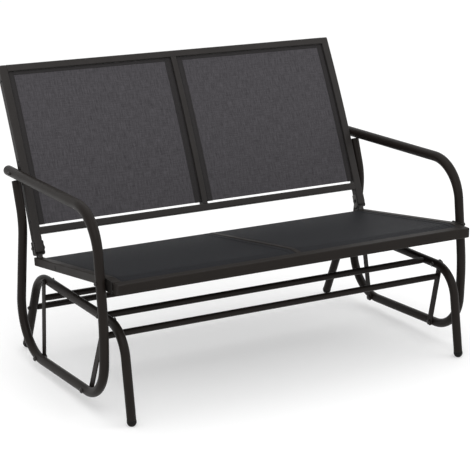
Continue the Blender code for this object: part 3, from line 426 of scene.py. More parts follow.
def weave_group():
    """Coated mesh cloth read from the flat cloth's UV map, in metres.

    Yarns cross in a plain weave: the sign of sin(u) * sin(v) says which is on top, and the height is
    the sine across the upper yarn. Long noise along each direction gives streaks of uneven yarn.
    """
    group, given, result = new_group(
        "woven_yarns",
        [("Warp", "Color", (0.08, 0.08, 0.08, 1.0)), ("Weft", "Color", (0.07, 0.07, 0.07, 1.0)),
         ("Yarns a metre", "Float", 800.0), ("Streaks", "Float", 0.10), ("Bands", "Float", 0.05),
         ("Gap shade", "Float", 0.55)],
        [("Colour", "Color"), ("Roughness", "Float"), ("Height", "Float")])
    place = node(group, "ShaderNodeUVMap", uv_map="cloth")
    split = node(group, "ShaderNodeSeparateXYZ")
    link(group, place.outputs[0], split.inputs[0])
    turns = []
    for axis in ("X", "Y"):
        angle = math_node(group, "MULTIPLY", split.outputs[axis], given.outputs["Yarns a metre"])
        turns.append(math_node(group, "SINE", math_node(group, "MULTIPLY", angle, math.pi)))
    over = spread(group, math_node(group, "MULTIPLY", turns[0], turns[1]), -0.12, 0.12, 0.0, 1.0)
    across_warp = math_node(group, "ABSOLUTE", turns[0])
    across_weft = math_node(group, "ABSOLUTE", turns[1])
    height = node(group, "ShaderNodeMix", data_type="FLOAT")
    link(group, over, height.inputs[0])
    link(group, across_weft, height.inputs[2])
    link(group, across_warp, height.inputs[3])
    yarn = node(group, "ShaderNodeMix", data_type="RGBA")
    link(group, over, yarn.inputs[0])
    link(group, given.outputs["Weft"], yarn.inputs[6])
    link(group, given.outputs["Warp"], yarn.inputs[7])
    total = None
    for scale, amount in (((320.0, 32.0, 1.0), "Streaks"), ((34.0, 320.0, 1.0), "Bands")):
        stretch = node(group, "ShaderNodeMapping", {"Scale": scale})
        link(group, place.outputs[0], stretch.inputs[0])
        noise = node(group, "ShaderNodeTexNoise", {"Scale": 1.0, "Detail": 3.0, "Roughness": 0.6})
        link(group, stretch.outputs[0], noise.inputs["Vector"])
        swing = math_node(group, "MULTIPLY", spread(group, noise.outputs["Fac"], 0.3, 0.7, -1.0, 1.0),
                          given.outputs[amount])
        total = swing if total is None else math_node(group, "ADD", total, swing)
    # Painted shade: the colour is darkened down to the Gap shade share where the yarns are low, in the gaps
    # between them.
    hollow = spread(group, height.outputs[0], 0.0, 0.6, 0.0, 1.0)
    shade = math_node(group, "ADD", given.outputs["Gap shade"], math_node(
        group, "MULTIPLY", hollow, math_node(group, "SUBTRACT", 1.0, given.outputs["Gap shade"])))
    shade = math_node(group, "MULTIPLY", shade, math_node(group, "ADD", 1.0, total))
    grey = node(group, "ShaderNodeCombineColor")
    for number in range(3):
        link(group, shade, grey.inputs[number])
    link(group, tinted(group, yarn.outputs[2], grey.outputs[0]), result.inputs["Colour"])
    link(group, spread(group, hollow, 0.0, 1.0, 0.75, 0.58), result.inputs["Roughness"])
    link(group, height.outputs[0], result.inputs["Height"])
    return group


def stitch_group():
    """Two rows of stitches on a hem, read from the UV map: dashes where a sine along v is above a
    limit, within a thread's width of either row's distance from the hem's middle."""
    group, given, result = new_group(
        "stitch_rows",
        [("Row", "Float", 0.006), ("Stitches a metre", "Float", 260.0), ("Thread", "Float", 0.0006)],
        [("Mask", "Float")])
    place = node(group, "ShaderNodeUVMap", uv_map="cloth")
    split = node(group, "ShaderNodeSeparateXYZ")
    link(group, place.outputs[0], split.inputs[0])
    offset = math_node(group, "ABSOLUTE", math_node(
        group, "SUBTRACT", math_node(group, "ABSOLUTE", split.outputs["X"]), given.outputs["Row"]))
    near = math_node(group, "LESS_THAN", offset, given.outputs["Thread"])
    wave = math_node(group, "SINE", math_node(group, "MULTIPLY", math_node(
        group, "MULTIPLY", split.outputs["Y"], given.outputs["Stitches a metre"]), 2.0 * math.pi))
    link(group, math_node(group, "MULTIPLY", near, spread(group, wave, -0.5, 0.0, 0.0, 1.0)),
         result.inputs["Mask"])
    return group


COATED_SKIN, WOVEN_YARNS, STITCH_ROWS = coat_group(), weave_group(), stitch_group()


def new_finish(name):
    """An empty node material: its tree and its Principled BSDF."""
    finish = bpy.data.materials.new(name)
    finish.use_nodes = True
    return finish, finish.node_tree, finish.node_tree.nodes["Principled BSDF"]


def add_bump(tree, shader, height, strength, distance):
    """A Bump node from a height to the shader's normal."""
    bump = node(tree, "ShaderNodeBump", {"Strength": strength, "Distance": distance})
    link(tree, height, bump.inputs["Height"])
    link(tree, bump.outputs[0], shader.inputs["Normal"])


def coated(name, colour, roughness, peel=700.0, mottle=0.10, dust=0.10, wear=0.25, metallic=0.0,
           specular=0.11, bump=0.12):
    """A coated metal or plastic finish."""
    finish, tree, shader = new_finish(name)
    skin = node(tree, "ShaderNodeGroup", node_tree=COATED_SKIN)
    for label, value in (("Colour", (*colour, 1.0)), ("Roughness", roughness), ("Peel size", peel),
                         ("Mottle", mottle), ("Dust", dust), ("Wear", wear)):
        skin.inputs[label].default_value = value
    link(tree, skin.outputs["Colour"], shader.inputs["Base Color"])
    link(tree, skin.outputs["Roughness"], shader.inputs["Roughness"])
    add_bump(tree, shader, skin.outputs["Height"], bump, 0.0004)
    shader.inputs["Metallic"].default_value = metallic
    shader.inputs["Specular IOR Level"].default_value = specular
    return finish


def woven(name, warp, weft, streaks, bands, specular=0.10, stitches=False, yarns=760.0):
    """A mesh cloth finish, with two rows of stitches where it is a hem's."""
    finish, tree, shader = new_finish(name)
    cloth = node(tree, "ShaderNodeGroup", node_tree=WOVEN_YARNS)
    for label, value in (("Warp", (*warp, 1.0)), ("Weft", (*weft, 1.0)), ("Yarns a metre", yarns),
                         ("Streaks", streaks), ("Bands", bands)):
        cloth.inputs[label].default_value = value
    colour, height = cloth.outputs["Colour"], cloth.outputs["Height"]
    if stitches:
        thread = node(tree, "ShaderNodeGroup", node_tree=STITCH_ROWS)
        sewn = node(tree, "ShaderNodeMix", {7: (0.016, 0.015, 0.015, 1.0)}, data_type="RGBA")
        link(tree, thread.outputs["Mask"], sewn.inputs[0])
        link(tree, colour, sewn.inputs[6])
        colour = sewn.outputs[2]
        height = math_node(tree, "MULTIPLY_ADD", thread.outputs["Mask"], 1.5, height)
    link(tree, colour, shader.inputs["Base Color"])
    link(tree, cloth.outputs["Roughness"], shader.inputs["Roughness"])
    add_bump(tree, shader, height, 0.35, 0.0004)
    shader.inputs["Specular IOR Level"].default_value = specular
    return finish


FRAME_PAINT = coated("frame_powder_coat", (0.0112, 0.0088, 0.0074), 0.50, dust=0.02)
# Painted light: the back frame has the same powder coat as the seat frame, but a lighter colour stands for
# the light from above on its up-facing rails.
BACK_FRAME_PAINTED_LIGHT = coated("back_frame_coat_painted_light", (0.0262, 0.0238, 0.0228), 0.48, dust=0.03)
TUBE_PAINT = coated("tube_powder_coat", (0.0112, 0.0086, 0.0072), 0.42, dust=0.03)
DARK_STEEL = coated("dark_bolt_steel", (0.030, 0.028, 0.027), 0.34, 1200.0, 0.12, 0.05, 0.5, 0.6, 0.30)
FOOT_RUBBER = coated("foot_rubber", (0.0080, 0.0075, 0.0070), 0.62, 1600.0, 0.10, 0.12, 0.10)
CAP_PLASTIC = coated("cap_plastic", (0.0110, 0.0098, 0.0090), 0.52, 1400.0, 0.08, 0.06, 0.15)
# Painted shade: a near-black finish for thin plates that stand for the shadow inside slot mouths.
SLOT_SHADE_PAINT = coated("slot_shadow", (0.0050, 0.0050, 0.0050), 0.70, 900.0, 0.05, 0.0, 0.0)
BACK_CLOTH = woven("back_mesh_cloth", (0.0650, 0.0610, 0.0670), (0.0550, 0.0520, 0.0570), 0.26, 0.18)
SEAT_CLOTH = woven("seat_mesh_cloth", (0.0226, 0.0231, 0.0255), (0.0192, 0.0197, 0.0218), 0.10, 0.08,
                   0.03)
BACK_HEM = woven("back_hem_cloth", (0.0300, 0.0275, 0.0280), (0.0250, 0.0235, 0.0240), 0.08, 0.06,
                 0.08, True)
SEAT_HEM = woven("seat_hem_cloth", (0.0215, 0.0220, 0.0243), (0.0182, 0.0187, 0.0207), 0.06, 0.05,
                 0.03, True)


# ---------------------------------------------------------------- bolts
def bolt_profile(shank, grip, nut=True):
    """Rows of a bolt along its axis, from its head's top: a socket, a dome, a washer, the shank,
    and a nut or a rounded end."""
    head, root = shank, shank / 2
    rows = [(0.0030, 0.0001, 1), (0.0028, 0.30 * head, 1), (0.0043, 0.32 * head, 1),
            (0.0045, 0.40 * head, 0), (0.0044, 0.52 * head, 0), (0.0040, 0.68 * head, 0),
            (0.0032, 0.83 * head, 0), (0.0020, 0.90 * head, 0), (0.0012, 0.91 * head, 0),
            (0.0011, 0.985 * head, 0), (0.0009, head, 0), (0.0002, head, 0), (0.0, 0.98 * head, 0),
            (-0.0001, root, 0), (-grip, root, 0)]
    if nut:
        rows += [(-grip - 0.0001, 0.80 * head, 0), (-grip - 0.0005, 0.862 * head, 1),
                 (-grip - 0.0032, 0.862 * head, 1), (-grip - 0.0037, 0.80 * head, 0.5),
                 (-grip - 0.0040, 0.62 * head, 0), (-grip - 0.0045, 0.50 * head, 0),
                 (-grip - 0.0045, 0.0001, 0)]
    else:
        rows += [(-grip - 0.0001, 0.8 * root, 0), (-grip - 0.0001, 0.0001, 0)]
    return rows


def place_bolt(name, body, side, point, head_x, grip, shank, stands_for, nut=True):
    """A bolt whose head sits at head_x on this side, pointing outwards."""
    shape = turned((side * head_x, *point), (side, 0.0, 0.0), bolt_profile(shank, grip, nut))
    return piece(name, shape, DARK_STEEL, body, (stands_for,))


# ---------------------------------------------------------------- base
def make_base():
    """Hoops, feet, cross rails and their bolts."""
    run = evenly(bent_run(HOOP_CORNERS, HOOP_BENDS), 0.007)
    for word, side in SIDES:
        piece("hoop_tube_" + word, swept(side_path(side * HOOP_X, run), circle(HOOP_TUBE / 2), X_AXIS),
              TUBE_PAINT, "base", ("base_hoop_" + word,))
        place_foot("front", word, side, FRONT_FOOT, FRONT_LEG_LEAN)
        place_foot("rear", word, side, REAR_FOOT, REAR_LEG_LEAN)
        for end, pivot in (("front", FRONT_TOP_PIVOT), ("rear", REAR_TOP_PIVOT)):
            place_bolt("upper_pivot_%s_%s" % (end, word), "base", side, pivot, 0.5665, 0.0318, PIVOT_SHANK,
                       "top_pivot_bolt_%s_%s" % (end, word))
        for end, seat in (("front", FRONT_BASE_RAIL), ("rear", REAR_BASE_RAIL)):
            place_bolt("rail_screw_%s_%s" % (end, word), "base", side, seat, 0.5613, 0.044, FRAME_SHANK,
                       "base_%s_rail_bolt_%s" % (end, word), nut=False)
    for end, seat in (("front", FRONT_BASE_RAIL), ("rear", REAR_BASE_RAIL)):
        piece("base_crossbar_" + end, crossbar(seat, 0.5347, CROSSBAR_TUBE / 2), TUBE_PAINT, "base",
              ("base_%s_rail" % end,))


def crossbar(point, half, radius):
    """A round bar along X whose ends narrow slightly where they were crimped to seat on a tube:
    radius * (1 - 0.06 * smooth step of the distance from either end)."""
    x = np.concatenate([np.linspace(-half, -half + 0.03, 9), np.linspace(-half + 0.05, half - 0.05, 60),
                        np.linspace(half - 0.03, half, 9)])
    share = np.clip((half - np.abs(x)) / 0.022, 0.0, 1.0)
    sizes = 0.94 + 0.06 * share * share * (3.0 - 2.0 * share)
    path = np.stack([x, np.full_like(x, point[0]), np.full_like(x, point[1])], -1)
    return swept(path, circle(radius, 32), Y_AXIS, sizes)


def place_foot(end, word, side, foot, lean):
    """A domed foot: a flange, a short ribbed skirt and a dome cut off level with the floor.

    The dome is radius * (cos, -sin) of an angle; points under the floor are brought up to it.
    """
    radius = FOOT_RADIUS
    angle = np.radians(np.linspace(0.0, 84.0, 12))
    rows = [(0.0040, 0.0132, 0), (0.0038, radius, 0), (0.0026, radius, 0), (0.0022, 0.0131, 0),
            (0.0016, 0.0131, 0), (0.0012, radius, 0), (0.0002, radius, 0)]
    rows += [(-radius * math.sin(turn), radius * math.cos(turn), 0) for turn in angle[1:]]
    rows = [(0.0041, 0.0001, 0)] + rows + [(-radius, 0.0001, 0)]
    axis = (0.0, math.sin(lean), math.cos(lean))
    points, faces = turned((side * HOOP_X, *foot), axis, rows)
    points[:, 2] = np.maximum(points[:, 2], 0.0)
    piece("foot_cap_%s_%s" % (end, word), (points, faces), FOOT_RUBBER, "base",
          ("foot_%s_%s" % (end, word),))


# ---------------------------------------------------------------- links
def link_bar(side, top, low):
    """A flat bar from a hoop's outer side to a loop's inner side: a stadium, whose round ends are
    centre + radius * (cos, sin) of an angle over half a turn."""
    start = np.array([side * LINK_TOP_X, *top])
    run = np.array([side * LINK_LOW_X, *low]) - start
    length = np.linalg.norm(run)
    along = run / length
    across = unit(np.cross(along, X_AXIS))
    out = np.cross(along, across)
    angle = np.linspace(-math.pi / 2, math.pi / 2, 17)
    half = np.stack([np.cos(angle), np.sin(angle)], -1) * LINK_WIDTH / 2
    outline = np.vstack([half + [length, 0.0], -half])
    return flat_plate(outline, start, (along, across, out), LINK_PLATE, 0.0010)


def make_links():
    """Front and rear link frames: two bars and a crossbar each."""
    for end, top, low in (("front", FRONT_TOP_PIVOT, FRONT_LOW_PIVOT),
                          ("rear", REAR_TOP_PIVOT, REAR_LOW_PIVOT)):
        body = end + "_link"
        for word, side in SIDES:
            piece("%s_link_bar_%s" % (end, word), link_bar(side, top, low), TUBE_PAINT, body,
                  ("%s_link_%s" % (end, word),))
        length = math.dist(top, low)
        share = LINK_RAIL_DROP / length
        seat = np.array(top) + (np.array(low) - np.array(top)) * share
        link_x = LINK_TOP_X + (LINK_LOW_X - LINK_TOP_X) * share
        piece(end + "_link_crossbar", crossbar(seat, link_x - 0.0026, CROSSBAR_TUBE / 2), TUBE_PAINT,
              body, (end + "_link_rail",))


# ---------------------------------------------------------------- arm loops
def armrest_height(y):
    """Height of the armrests' axis, which rises towards the front."""
    return ARM_BOLT[1] - (y - ARM_BOLT[0]) * math.tan(ARMREST_RISE)


def make_arms():
    """Arm loops, their end caps and bolts."""
    run = evenly(bent_run(LOOP_CORNERS, LOOP_BENDS), 0.007)
    drop = np.clip((armrest_height(run[:, 0]) - run[:, 1]) / LOOP_BENDS[0], 0.0, 1.0)
    share = np.minimum.accumulate(1.0 - drop)
    sizes = 1.0 + (ARMREST_TUBE / LOOP_TUBE - 1.0) * share * share * (3.0 - 2.0 * share)
    back = np.array([0.0, math.cos(ARMREST_RISE), -math.sin(ARMREST_RISE)])
    radius, dome = ARMREST_TUBE / 2, 0.0095
    cap = [(-0.0027, 0.0001, 0), (-0.0027, 0.0148, 0), (-0.0024, radius, 0), (-0.0002, radius, 0)]
    angle = np.radians(np.linspace(8.0, 88.0, 9))
    cap += [(dome * math.sin(turn), radius * math.cos(turn) ** 0.8, 0) for turn in angle]
    cap += [(dome, 0.0001, 0)]
    for word, side in SIDES:
        tube = swept(side_path(side * LOOP_X, run), circle(LOOP_TUBE / 2), X_AXIS, sizes)
        piece("arm_tube_" + word, tube, TUBE_PAINT, "swing", ("arm_loop_" + word,))
        seat = np.array([side * LOOP_X, *LOOP_CORNERS[0]]) + back * 0.0030
        piece("arm_end_cap_" + word, turned(seat, back, cap), CAP_PLASTIC, "swing",
              ("armrest_cap_" + word,))
        for end, pivot in (("front", FRONT_LOW_PIVOT), ("rear", REAR_LOW_PIVOT)):
            place_bolt("lower_pivot_%s_%s" % (end, word), "swing", side, pivot, 0.6093, 0.0328, PIVOT_SHANK,
                       "low_pivot_bolt_%s_%s" % (end, word))
        place_bolt("arm_screw_back_" + word, "swing", side, ARM_BOLT, 0.61105, 0.0513, FRAME_SHANK,
                   "arm_back_bolt_" + word, nut=False)
        place_bolt("arm_screw_seat_" + word, "swing", side, SEAT_BOLT, 0.6093, 0.0495, FRAME_SHANK,
                   "arm_seat_bolt_" + word, nut=False)


# ---------------------------------------------------------------- seat
def seat_path(x, rear, front, below, spacing=0.012):
    """Points of a line that follows the seat's top at a distance below it."""
    y = np.linspace(rear, front, max(3, int((rear - front) / spacing)))
    return side_path(x, np.stack([y, seat_top(y) - below], -1))


def along_x(half, point):
    """Forty even points along X, from -half to half, through a side-view point."""
    x = np.linspace(-half, half, 40)
    return np.stack([x, np.full_like(x, point[0]), np.full_like(x, point[1])], -1)


def make_seat():
    """Rails, slings, hems and spacers of the seat."""
    box = rounded_box(RAIL, RAIL, RAIL_EDGE)
    front_y = FRONT_RAIL_BACK_Y + CLEAR
    for word, side in SIDES:
        rail = swept(seat_path(side * RAIL_X, SEAT_REAR_Y, front_y, RAIL / 2), box, X_AXIS)
        piece("seat_rail_" + word, rail, FRAME_PAINT, "swing", ("seat_side_rail_" + word,))
        place_spacer(word, side)
    middle = ((SEAT_FRONT_Y + FRONT_RAIL_BACK_Y) / 2, SEAT_FRONT_TOP - FRONT_RAIL_HEIGHT / 2)
    box = rounded_box(FRONT_RAIL_DEPTH, FRONT_RAIL_HEIGHT, 0.0035)
    piece("seat_rail_front", swept(along_x(FRAME_HALF, middle), box, Y_AXIS, ends=0.003),
          FRAME_PAINT, "swing", ("seat_front_rail",))
    slope = np.array([-math.cos(SEAT_RISE), math.sin(SEAT_RISE)])
    down = np.array([-math.sin(SEAT_RISE), -math.cos(SEAT_RISE)])
    rear = np.array([SEAT_REAR_Y, SEAT_REAR_TOP]) + slope * RAIL / 2 + down * (RAIL / 2 + REAR_RAIL_DROP)
    box = rounded_box(RAIL, RAIL - REAR_RAIL_DROP, 0.0028)
    rail = swept(along_x(FRAME_HALF - RAIL - CLEAR, rear), box, np.array([0.0, *slope]))
    piece("seat_rail_rear", rail, FRAME_PAINT, "swing", ("seat_rear_rail",))
    rail = swept(seat_path(0.0, SEAT_CENTRE_REAR, front_y, RAIL / 2),
                 rounded_box(CENTRE_RAIL, RAIL, RAIL_EDGE), X_AXIS)
    piece("seat_rail_centre", rail, FRAME_PAINT, "swing", ("seat_centre_rail",))
    for word, side in SIDES:
        make_seat_sling(word, side)


def make_seat_sling(word, side):
    """A seat panel between its hems, which sags by the product of two parabolas."""
    inner, outer = CENTRE_RAIL / 2 + CLEAR, FRAME_HALF - RAIL - CLEAR
    rear, front = SEAT_SLING_REAR, FRONT_RAIL_BACK_Y + CLEAR
    u = np.linspace(0.0, 1.0, 60)[:, None]
    v = np.linspace(0.0, 1.0, 60)[None]
    x = side * (inner + (outer - inner) * u) + 0.0 * v
    y = rear + (front - rear) * v + 0.0 * u
    sag = CLOTH_SAG * (1.0 - (2.0 * u - 1.0) ** 4) * (1.0 - (2.0 * v - 1.0) ** 4)
    z = seat_top(y) - SEAT_SLING_DEPTH - 0.0001 - sag
    top = np.stack([x, y, z], -1)
    cloth = np.stack([x - side * inner, (rear - y) / math.cos(SEAT_RISE)], -1).reshape(-1, 2)
    sling = piece("seat_cloth_" + word, thin_shell(top, CLOTH, Z_AXIS), SEAT_CLOTH,
                  "swing", ("seat_sling_" + word,), np.vstack([cloth, cloth]))
    for label, middle in (("outer", outer - 0.0094), ("inner", inner + 0.0094)):
        path = seat_path(side * middle, rear - 0.0002, front, SEAT_SLING_DEPTH + 0.0002)
        hem_band("seat_hem_%s_%s" % (label, word), path, 0.0095, 0.0009, SEAT_HEM,
                             X_AXIS)


def hem_band(name, path, half, rise, finish, across):
    """A sewn hem along the cloth's edge, crowned across, with its flat place as its UV map."""
    section = band_rows(half, rise)
    if np.cross(path[-1] - path[0], across)[2] < 0.0:
        section = section * [1.0, -1.0]
    shape = swept(path, section, across, ends=0.0002, steps=1)
    rings = len(path) + 2
    along = np.concatenate([[0.0], np.cumsum(np.linalg.norm(np.diff(path, axis=0), axis=1))])
    along = np.concatenate([along[:1], along, along[-1:]])
    flat = np.stack([np.tile(section[:, 0], rings), np.repeat(along, len(section))], -1)
    flat = np.vstack([[[0.0, along[0]]], flat, [[0.0, along[-1]]]])
    return piece(name, shape, finish, "swing", (), flat)


def place_spacer(word, side):
    """A moulded block between a seat rail and an arm tube, with rounded corners and rims."""
    front = FRONT_RAIL_BACK_Y + 0.001
    low, high = SEAT_BOLT[1] + RAIL / 2 - 0.035, SEAT_BOLT[1] + RAIL / 2
    length, thickness = 0.057, 0.0036
    outline = rounded_box(length, high - low, 0.004, 5, 0.0008)
    place = np.array([side * (FRAME_HALF + CLEAR + thickness / 2), front + length / 2, (low + high) / 2])
    shape = flat_plate(outline, place, (Y_AXIS, Z_AXIS, X_AXIS), thickness, 0.0008)
    piece("arm_block_" + word, shape, CAP_PLASTIC, "swing", ("arm_spacer_" + word,))


# ---------------------------------------------------------------- backrest
def back_path(x, low, high, behind=0.0, spacing=0.012):
    """Points of a line that follows the backrest's arc at a depth behind its axis."""
    along = np.linspace(low, high, max(3, int((high - low) / spacing)))
    return side_path(x, along_back(along, behind))


def back_directions(along):
    """Directions across and up the backrest at this distance along its arc."""
    lean = BACK_LEAN + BACK_CURVE * along
    return (np.array([0.0, math.cos(lean), -math.sin(lean)]),
            np.array([0.0, math.sin(lean), math.cos(lean)]))


def make_back():
    """Rails, slings and hems of the backrest."""
    box = rounded_box(RAIL, RAIL, RAIL_EDGE)
    for word, side in SIDES:
        rail = swept(back_path(side * RAIL_X, 0.0, BACK_LENGTH), box, X_AXIS, ends=0.0035)
        piece("back_rail_" + word, rail, BACK_FRAME_PAINTED_LIGHT, "swing", ("back_side_rail_" + word,))
    box = rounded_box(RAIL, CROSS_RAIL, RAIL_EDGE)
    for label, along in (("bottom", BACK_LOW_RAIL), ("top", BACK_TOP_RAIL)):
        path = along_x(FRAME_HALF - RAIL - CLEAR, along_back(along))
        piece("back_rail_" + label, swept(path, box, back_directions(along)[0]), BACK_FRAME_PAINTED_LIGHT, "swing",
              ("back_%s_rail" % label,))
    rail = swept(back_path(0.0, *BACK_CENTRE_ENDS), rounded_box(CENTRE_RAIL, RAIL, RAIL_EDGE), X_AXIS)
    piece("back_rail_centre", rail, BACK_FRAME_PAINTED_LIGHT, "swing", ("back_centre_rail",))
    for word, side in SIDES:
        make_back_sling(word, side)
        place_clevis(word, side)


def make_back_sling(word, side):
    """A back panel between its hems: it gives way behind by the product of two parabolas."""
    inner, outer = CENTRE_RAIL / 2 + CLEAR, FRAME_HALF - RAIL - CLEAR
    low, high = BACK_CLOTH_ENDS
    behind = 0.008 - RAIL / 2
    u = np.linspace(0.0, 1.0, 60)[:, None]
    v = np.linspace(0.0, 1.0, 60)[None]
    give = CLOTH_SAG * (1.0 - (2.0 * u - 1.0) ** 4) * (1.0 - (2.0 * v - 1.0) ** 4)
    x = side * (inner + (outer - inner) * u) + 0.0 * v
    place = along_back(low + (high - low) * v + 0.0 * u, behind + give)
    top = np.concatenate([x[..., None], place], -1)
    lean = BACK_LEAN + BACK_CURVE * (low + (high - low) * v + 0.0 * u)
    normal = np.stack([0.0 * lean, -np.cos(lean), np.sin(lean)], -1)
    cloth = np.stack([x - side * inner, (high - low) * v + 0.0 * u], -1).reshape(-1, 2)
    sling = piece("back_cloth_" + word, thin_shell(top, CLOTH, normal), BACK_CLOTH, "swing",
                  ("back_sling_" + word,), np.vstack([cloth, cloth]))
    for label, middle, half in (("outer", outer - 0.0094, 0.0096), ("inner", inner + 0.0108, 0.0110)):
        path = back_path(side * middle, low - 0.0008, high + 0.0104, behind - 0.0001)
        hem_band("back_hem_%s_%s" % (label, word), path, half, 0.0013, BACK_HEM,
                             X_AXIS)
    centre = along_back(high + 0.0050, behind - 0.0001)
    x = np.linspace(inner + 0.0208, outer - 0.0182, 40) * side
    path = np.stack([x, np.full_like(x, centre[0]), np.full_like(x, centre[1])], -1)
    hem_band("back_hem_top_" + word, path, 0.0054, 0.0013, BACK_HEM,
                         back_directions(high)[1])


# ---------------------------------------------------------------- hinges
def place_clevis(word, side):
    """A bent U bracket on a short neck round the back rail's foot, and its bolt.

    Its outline is mirrored about the middle, with the lower corners centre + radius * (sin, -cos).
    """
    inner, outer = 0.0130, 0.0160
    web_top, web_low = -0.0185, -0.0215
    turn = np.linspace(0.0, math.pi / 2, 7)
    corner, rise = 0.0055, 0.020
    bend = np.stack([outer - corner + corner * np.sin(turn), web_low + corner - corner * np.cos(turn)], -1)
    ear = np.array([[outer, rise - 0.0012], [outer - 0.0012, rise], [inner + 0.0006, rise],
                    [inner, rise - 0.0006], [inner, web_top + 0.002], [inner - 0.002, web_top]])
    neck = np.array([[0.0065, -0.0310], [0.0065, web_low - 0.0010], [0.0075, web_low]])
    half = np.vstack([neck, bend, ear])
    outline = np.vstack([half, half[::-1] * [-1.0, 1.0]])
    across, up = back_directions(0.0)
    shape = flat_plate(outline, np.array([side * RAIL_X, *HINGE]), (X_AXIS, up, -across), 0.020, 0.0007)
    shape[0][:, 2] = np.maximum(shape[0][:, 2], seat_top(shape[0][:, 1]) + 0.0002)
    piece("back_bracket_" + word, shape, DARK_STEEL, "swing", ("hinge_clevis_" + word,))
    place_bolt("back_pin_" + word, "swing", side, HINGE, RAIL_X + outer + CLEAR, 2 * (outer + CLEAR),
               FRAME_SHANK, "hinge_bolt_" + word)


# ---------------------------------------------------------------- slots and welds
def place_slot_shade(name, side, point, lean):
    """Painted shade for a slot's mouth on a rail's outer face: a thin dark stadium across the rail."""
    angle = np.linspace(-math.pi / 2, math.pi / 2, 9)
    half = np.stack([np.cos(angle), np.sin(angle)], -1) * 0.0020
    outline = np.vstack([half + [0.0038, 0.0], -half - [0.0038, 0.0]])
    directions = (np.array([0.0, math.cos(lean), -math.sin(lean)]),
                  np.array([0.0, math.sin(lean), math.cos(lean)]), X_AXIS)
    place = np.array([side * (FRAME_HALF + 0.0001), *point])
    shape = flat_plate(outline, place, directions, 0.0006, 0.0002)
    piece(name, shape, SLOT_SHADE_PAINT, "swing", ())


def place_bead(name, centre, first, second, width, height, paint, radius=0.0011):
    """A weld bead round a square tube's end: a rope along a rounded rectangle, whose radius
    ripples by a tenth of a sine of the distance along it."""
    ring = rounded_box(width, height, 0.0030, 5)
    ring = evenly(np.vstack([ring, ring[:1]]), 0.0012)
    path = np.asarray(centre) + ring[:, :1] * first + ring[:, 1:] * second
    sizes = 1.0 + 0.1 * np.sin(np.arange(len(path)) * 1.3)
    piece(name, swept(path, circle(radius, 10), np.cross(first, second), sizes, ends=0.0003, steps=1),
          paint, "swing", ())


def make_details():
    """Painted shade patches for rod slots on the outer faces of the rails, and weld beads where rails meet.
    """
    edge = FRAME_HALF - RAIL - 0.0004
    for word, side in SIDES:
        for number, along in enumerate((0.205, 0.272, 0.520), 1):
            place_slot_shade("back_slot_shade_%d_%s" % (number, word), side, along_back(along, -0.004),
                       BACK_LEAN + BACK_CURVE * along)
        for number, reach in enumerate((0.155, 0.447), 1):
            y = SEAT_REAR_Y - reach
            place_slot_shade("seat_slot_shade_%d_%s" % (number, word), side, (y, float(seat_top(y)) - 0.0125),
                       math.radians(90.0) + SEAT_RISE)
        for label, along in (("low", BACK_LOW_RAIL), ("top", BACK_TOP_RAIL)):
            centre = np.array([side * edge, *along_back(along)])
            place_bead("back_weld_%s_%s" % (label, word), centre, *back_directions(along),
                       RAIL - 0.0012, CROSS_RAIL - 0.0006, BACK_FRAME_PAINTED_LIGHT)
        slope = np.array([0.0, -math.cos(SEAT_RISE), math.sin(SEAT_RISE)])
        normal = np.array([0.0, math.sin(SEAT_RISE), math.cos(SEAT_RISE)])
        centre = (np.array([side * edge, SEAT_REAR_Y, SEAT_REAR_TOP]) + slope * (RAIL / 2)
                  - normal * (RAIL / 2 + 0.0022))
        place_bead("seat_weld_" + word, centre, slope, normal, RAIL - 0.0012, RAIL - 0.0060,
                   FRAME_PAINT)
    for label, along in zip(("low", "top"), BACK_CENTRE_ENDS):
        centre = np.array([0.0, *along_back(along)])
        place_bead("back_weld_centre_" + label, centre, X_AXIS, back_directions(along)[0],
                   CENTRE_RAIL - 0.0004, RAIL - 0.0012, BACK_FRAME_PAINTED_LIGHT)


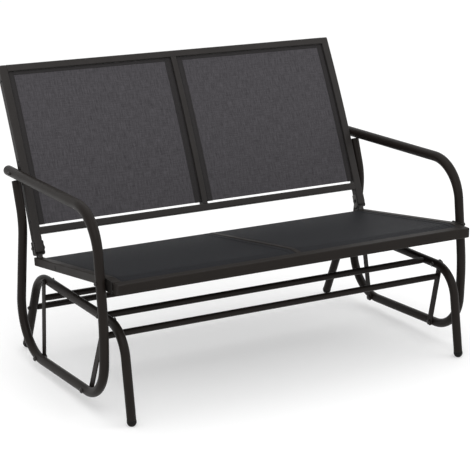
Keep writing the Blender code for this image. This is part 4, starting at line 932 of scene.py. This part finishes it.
# ---------------------------------------------------------------- stage
def make_stage():
    """A pale floor and soft lights: a key above the front left, a fill on the right, one on top."""
    half = 30.0
    mesh = bpy.data.meshes.new("floor")
    mesh.from_pydata([(-half, -half, -0.0002), (half, -half, -0.0002), (half, half, -0.0002),
                      (-half, half, -0.0002)], [], [(0, 1, 2, 3)])
    floor = bpy.data.objects.new("floor", mesh)
    finish, _, shader = new_finish("pale_floor")
    shader.inputs["Base Color"].default_value = (0.70, 0.70, 0.70, 1.0)
    shader.inputs["Emission Color"].default_value = (1.0, 1.0, 1.0, 1.0)
    shader.inputs["Emission Strength"].default_value = 0.32
    shader.inputs["Roughness"].default_value = 0.85
    shader.inputs["Specular IOR Level"].default_value = 0.1
    mesh.materials.append(finish)
    bpy.context.scene.collection.objects.link(floor)
    world = bpy.data.worlds.new("studio")
    world.use_nodes = True
    world.node_tree.nodes["Background"].inputs[0].default_value = (1.0, 1.0, 1.0, 1.0)
    world.node_tree.nodes["Background"].inputs[1].default_value = 1.0
    bpy.context.scene.world = world
    aim = Vector((0.0, 0.0, 0.4))
    for name, place, size, power in (("key", (-1.6, -2.8, 3.4), 2.4, 34.0),
                                     ("fill", (2.8, -1.8, 2.2), 2.0, 12.0),
                                     ("top", (0.0, 0.6, 3.8), 3.0, 18.0)):
        light = bpy.data.lights.new(name, "AREA")
        light.size = size
        light.energy = power
        lamp = bpy.data.objects.new(name, light)
        lamp.location = place
        lamp.rotation_euler = (aim - Vector(place)).to_track_quat("-Z", "Y").to_euler()
        bpy.context.scene.collection.objects.link(lamp)
    bpy.context.scene.view_settings.view_transform = "Standard"


def make_camera():
    """The camera, looking back and down at the bench from its front left."""
    azimuth, elevation, distance = math.radians(-29.728), math.radians(15.607), 4.8243
    back = Vector((math.sin(azimuth) * math.cos(elevation), -math.cos(azimuth) * math.cos(elevation),
                   math.sin(elevation)))
    right = Vector((math.cos(azimuth), math.sin(azimuth), 0.0))
    up = back.cross(right)
    camera = bpy.data.objects.new("camera", bpy.data.cameras.new("camera"))
    camera.location = back * distance + right * 0.0015 + up * 0.3468
    camera.rotation_mode = "QUATERNION"
    camera.rotation_quaternion = (-back).to_track_quat("-Z", "Y")
    camera.data.lens = 1570.65 * 36.0 / 470.0
    camera.data.sensor_width = 36.0
    bpy.context.scene.collection.objects.link(camera)
    bpy.context.scene.camera = camera


make_base()
make_links()
make_arms()
make_seat()
make_back()
make_details()
make_stage()
make_camera()
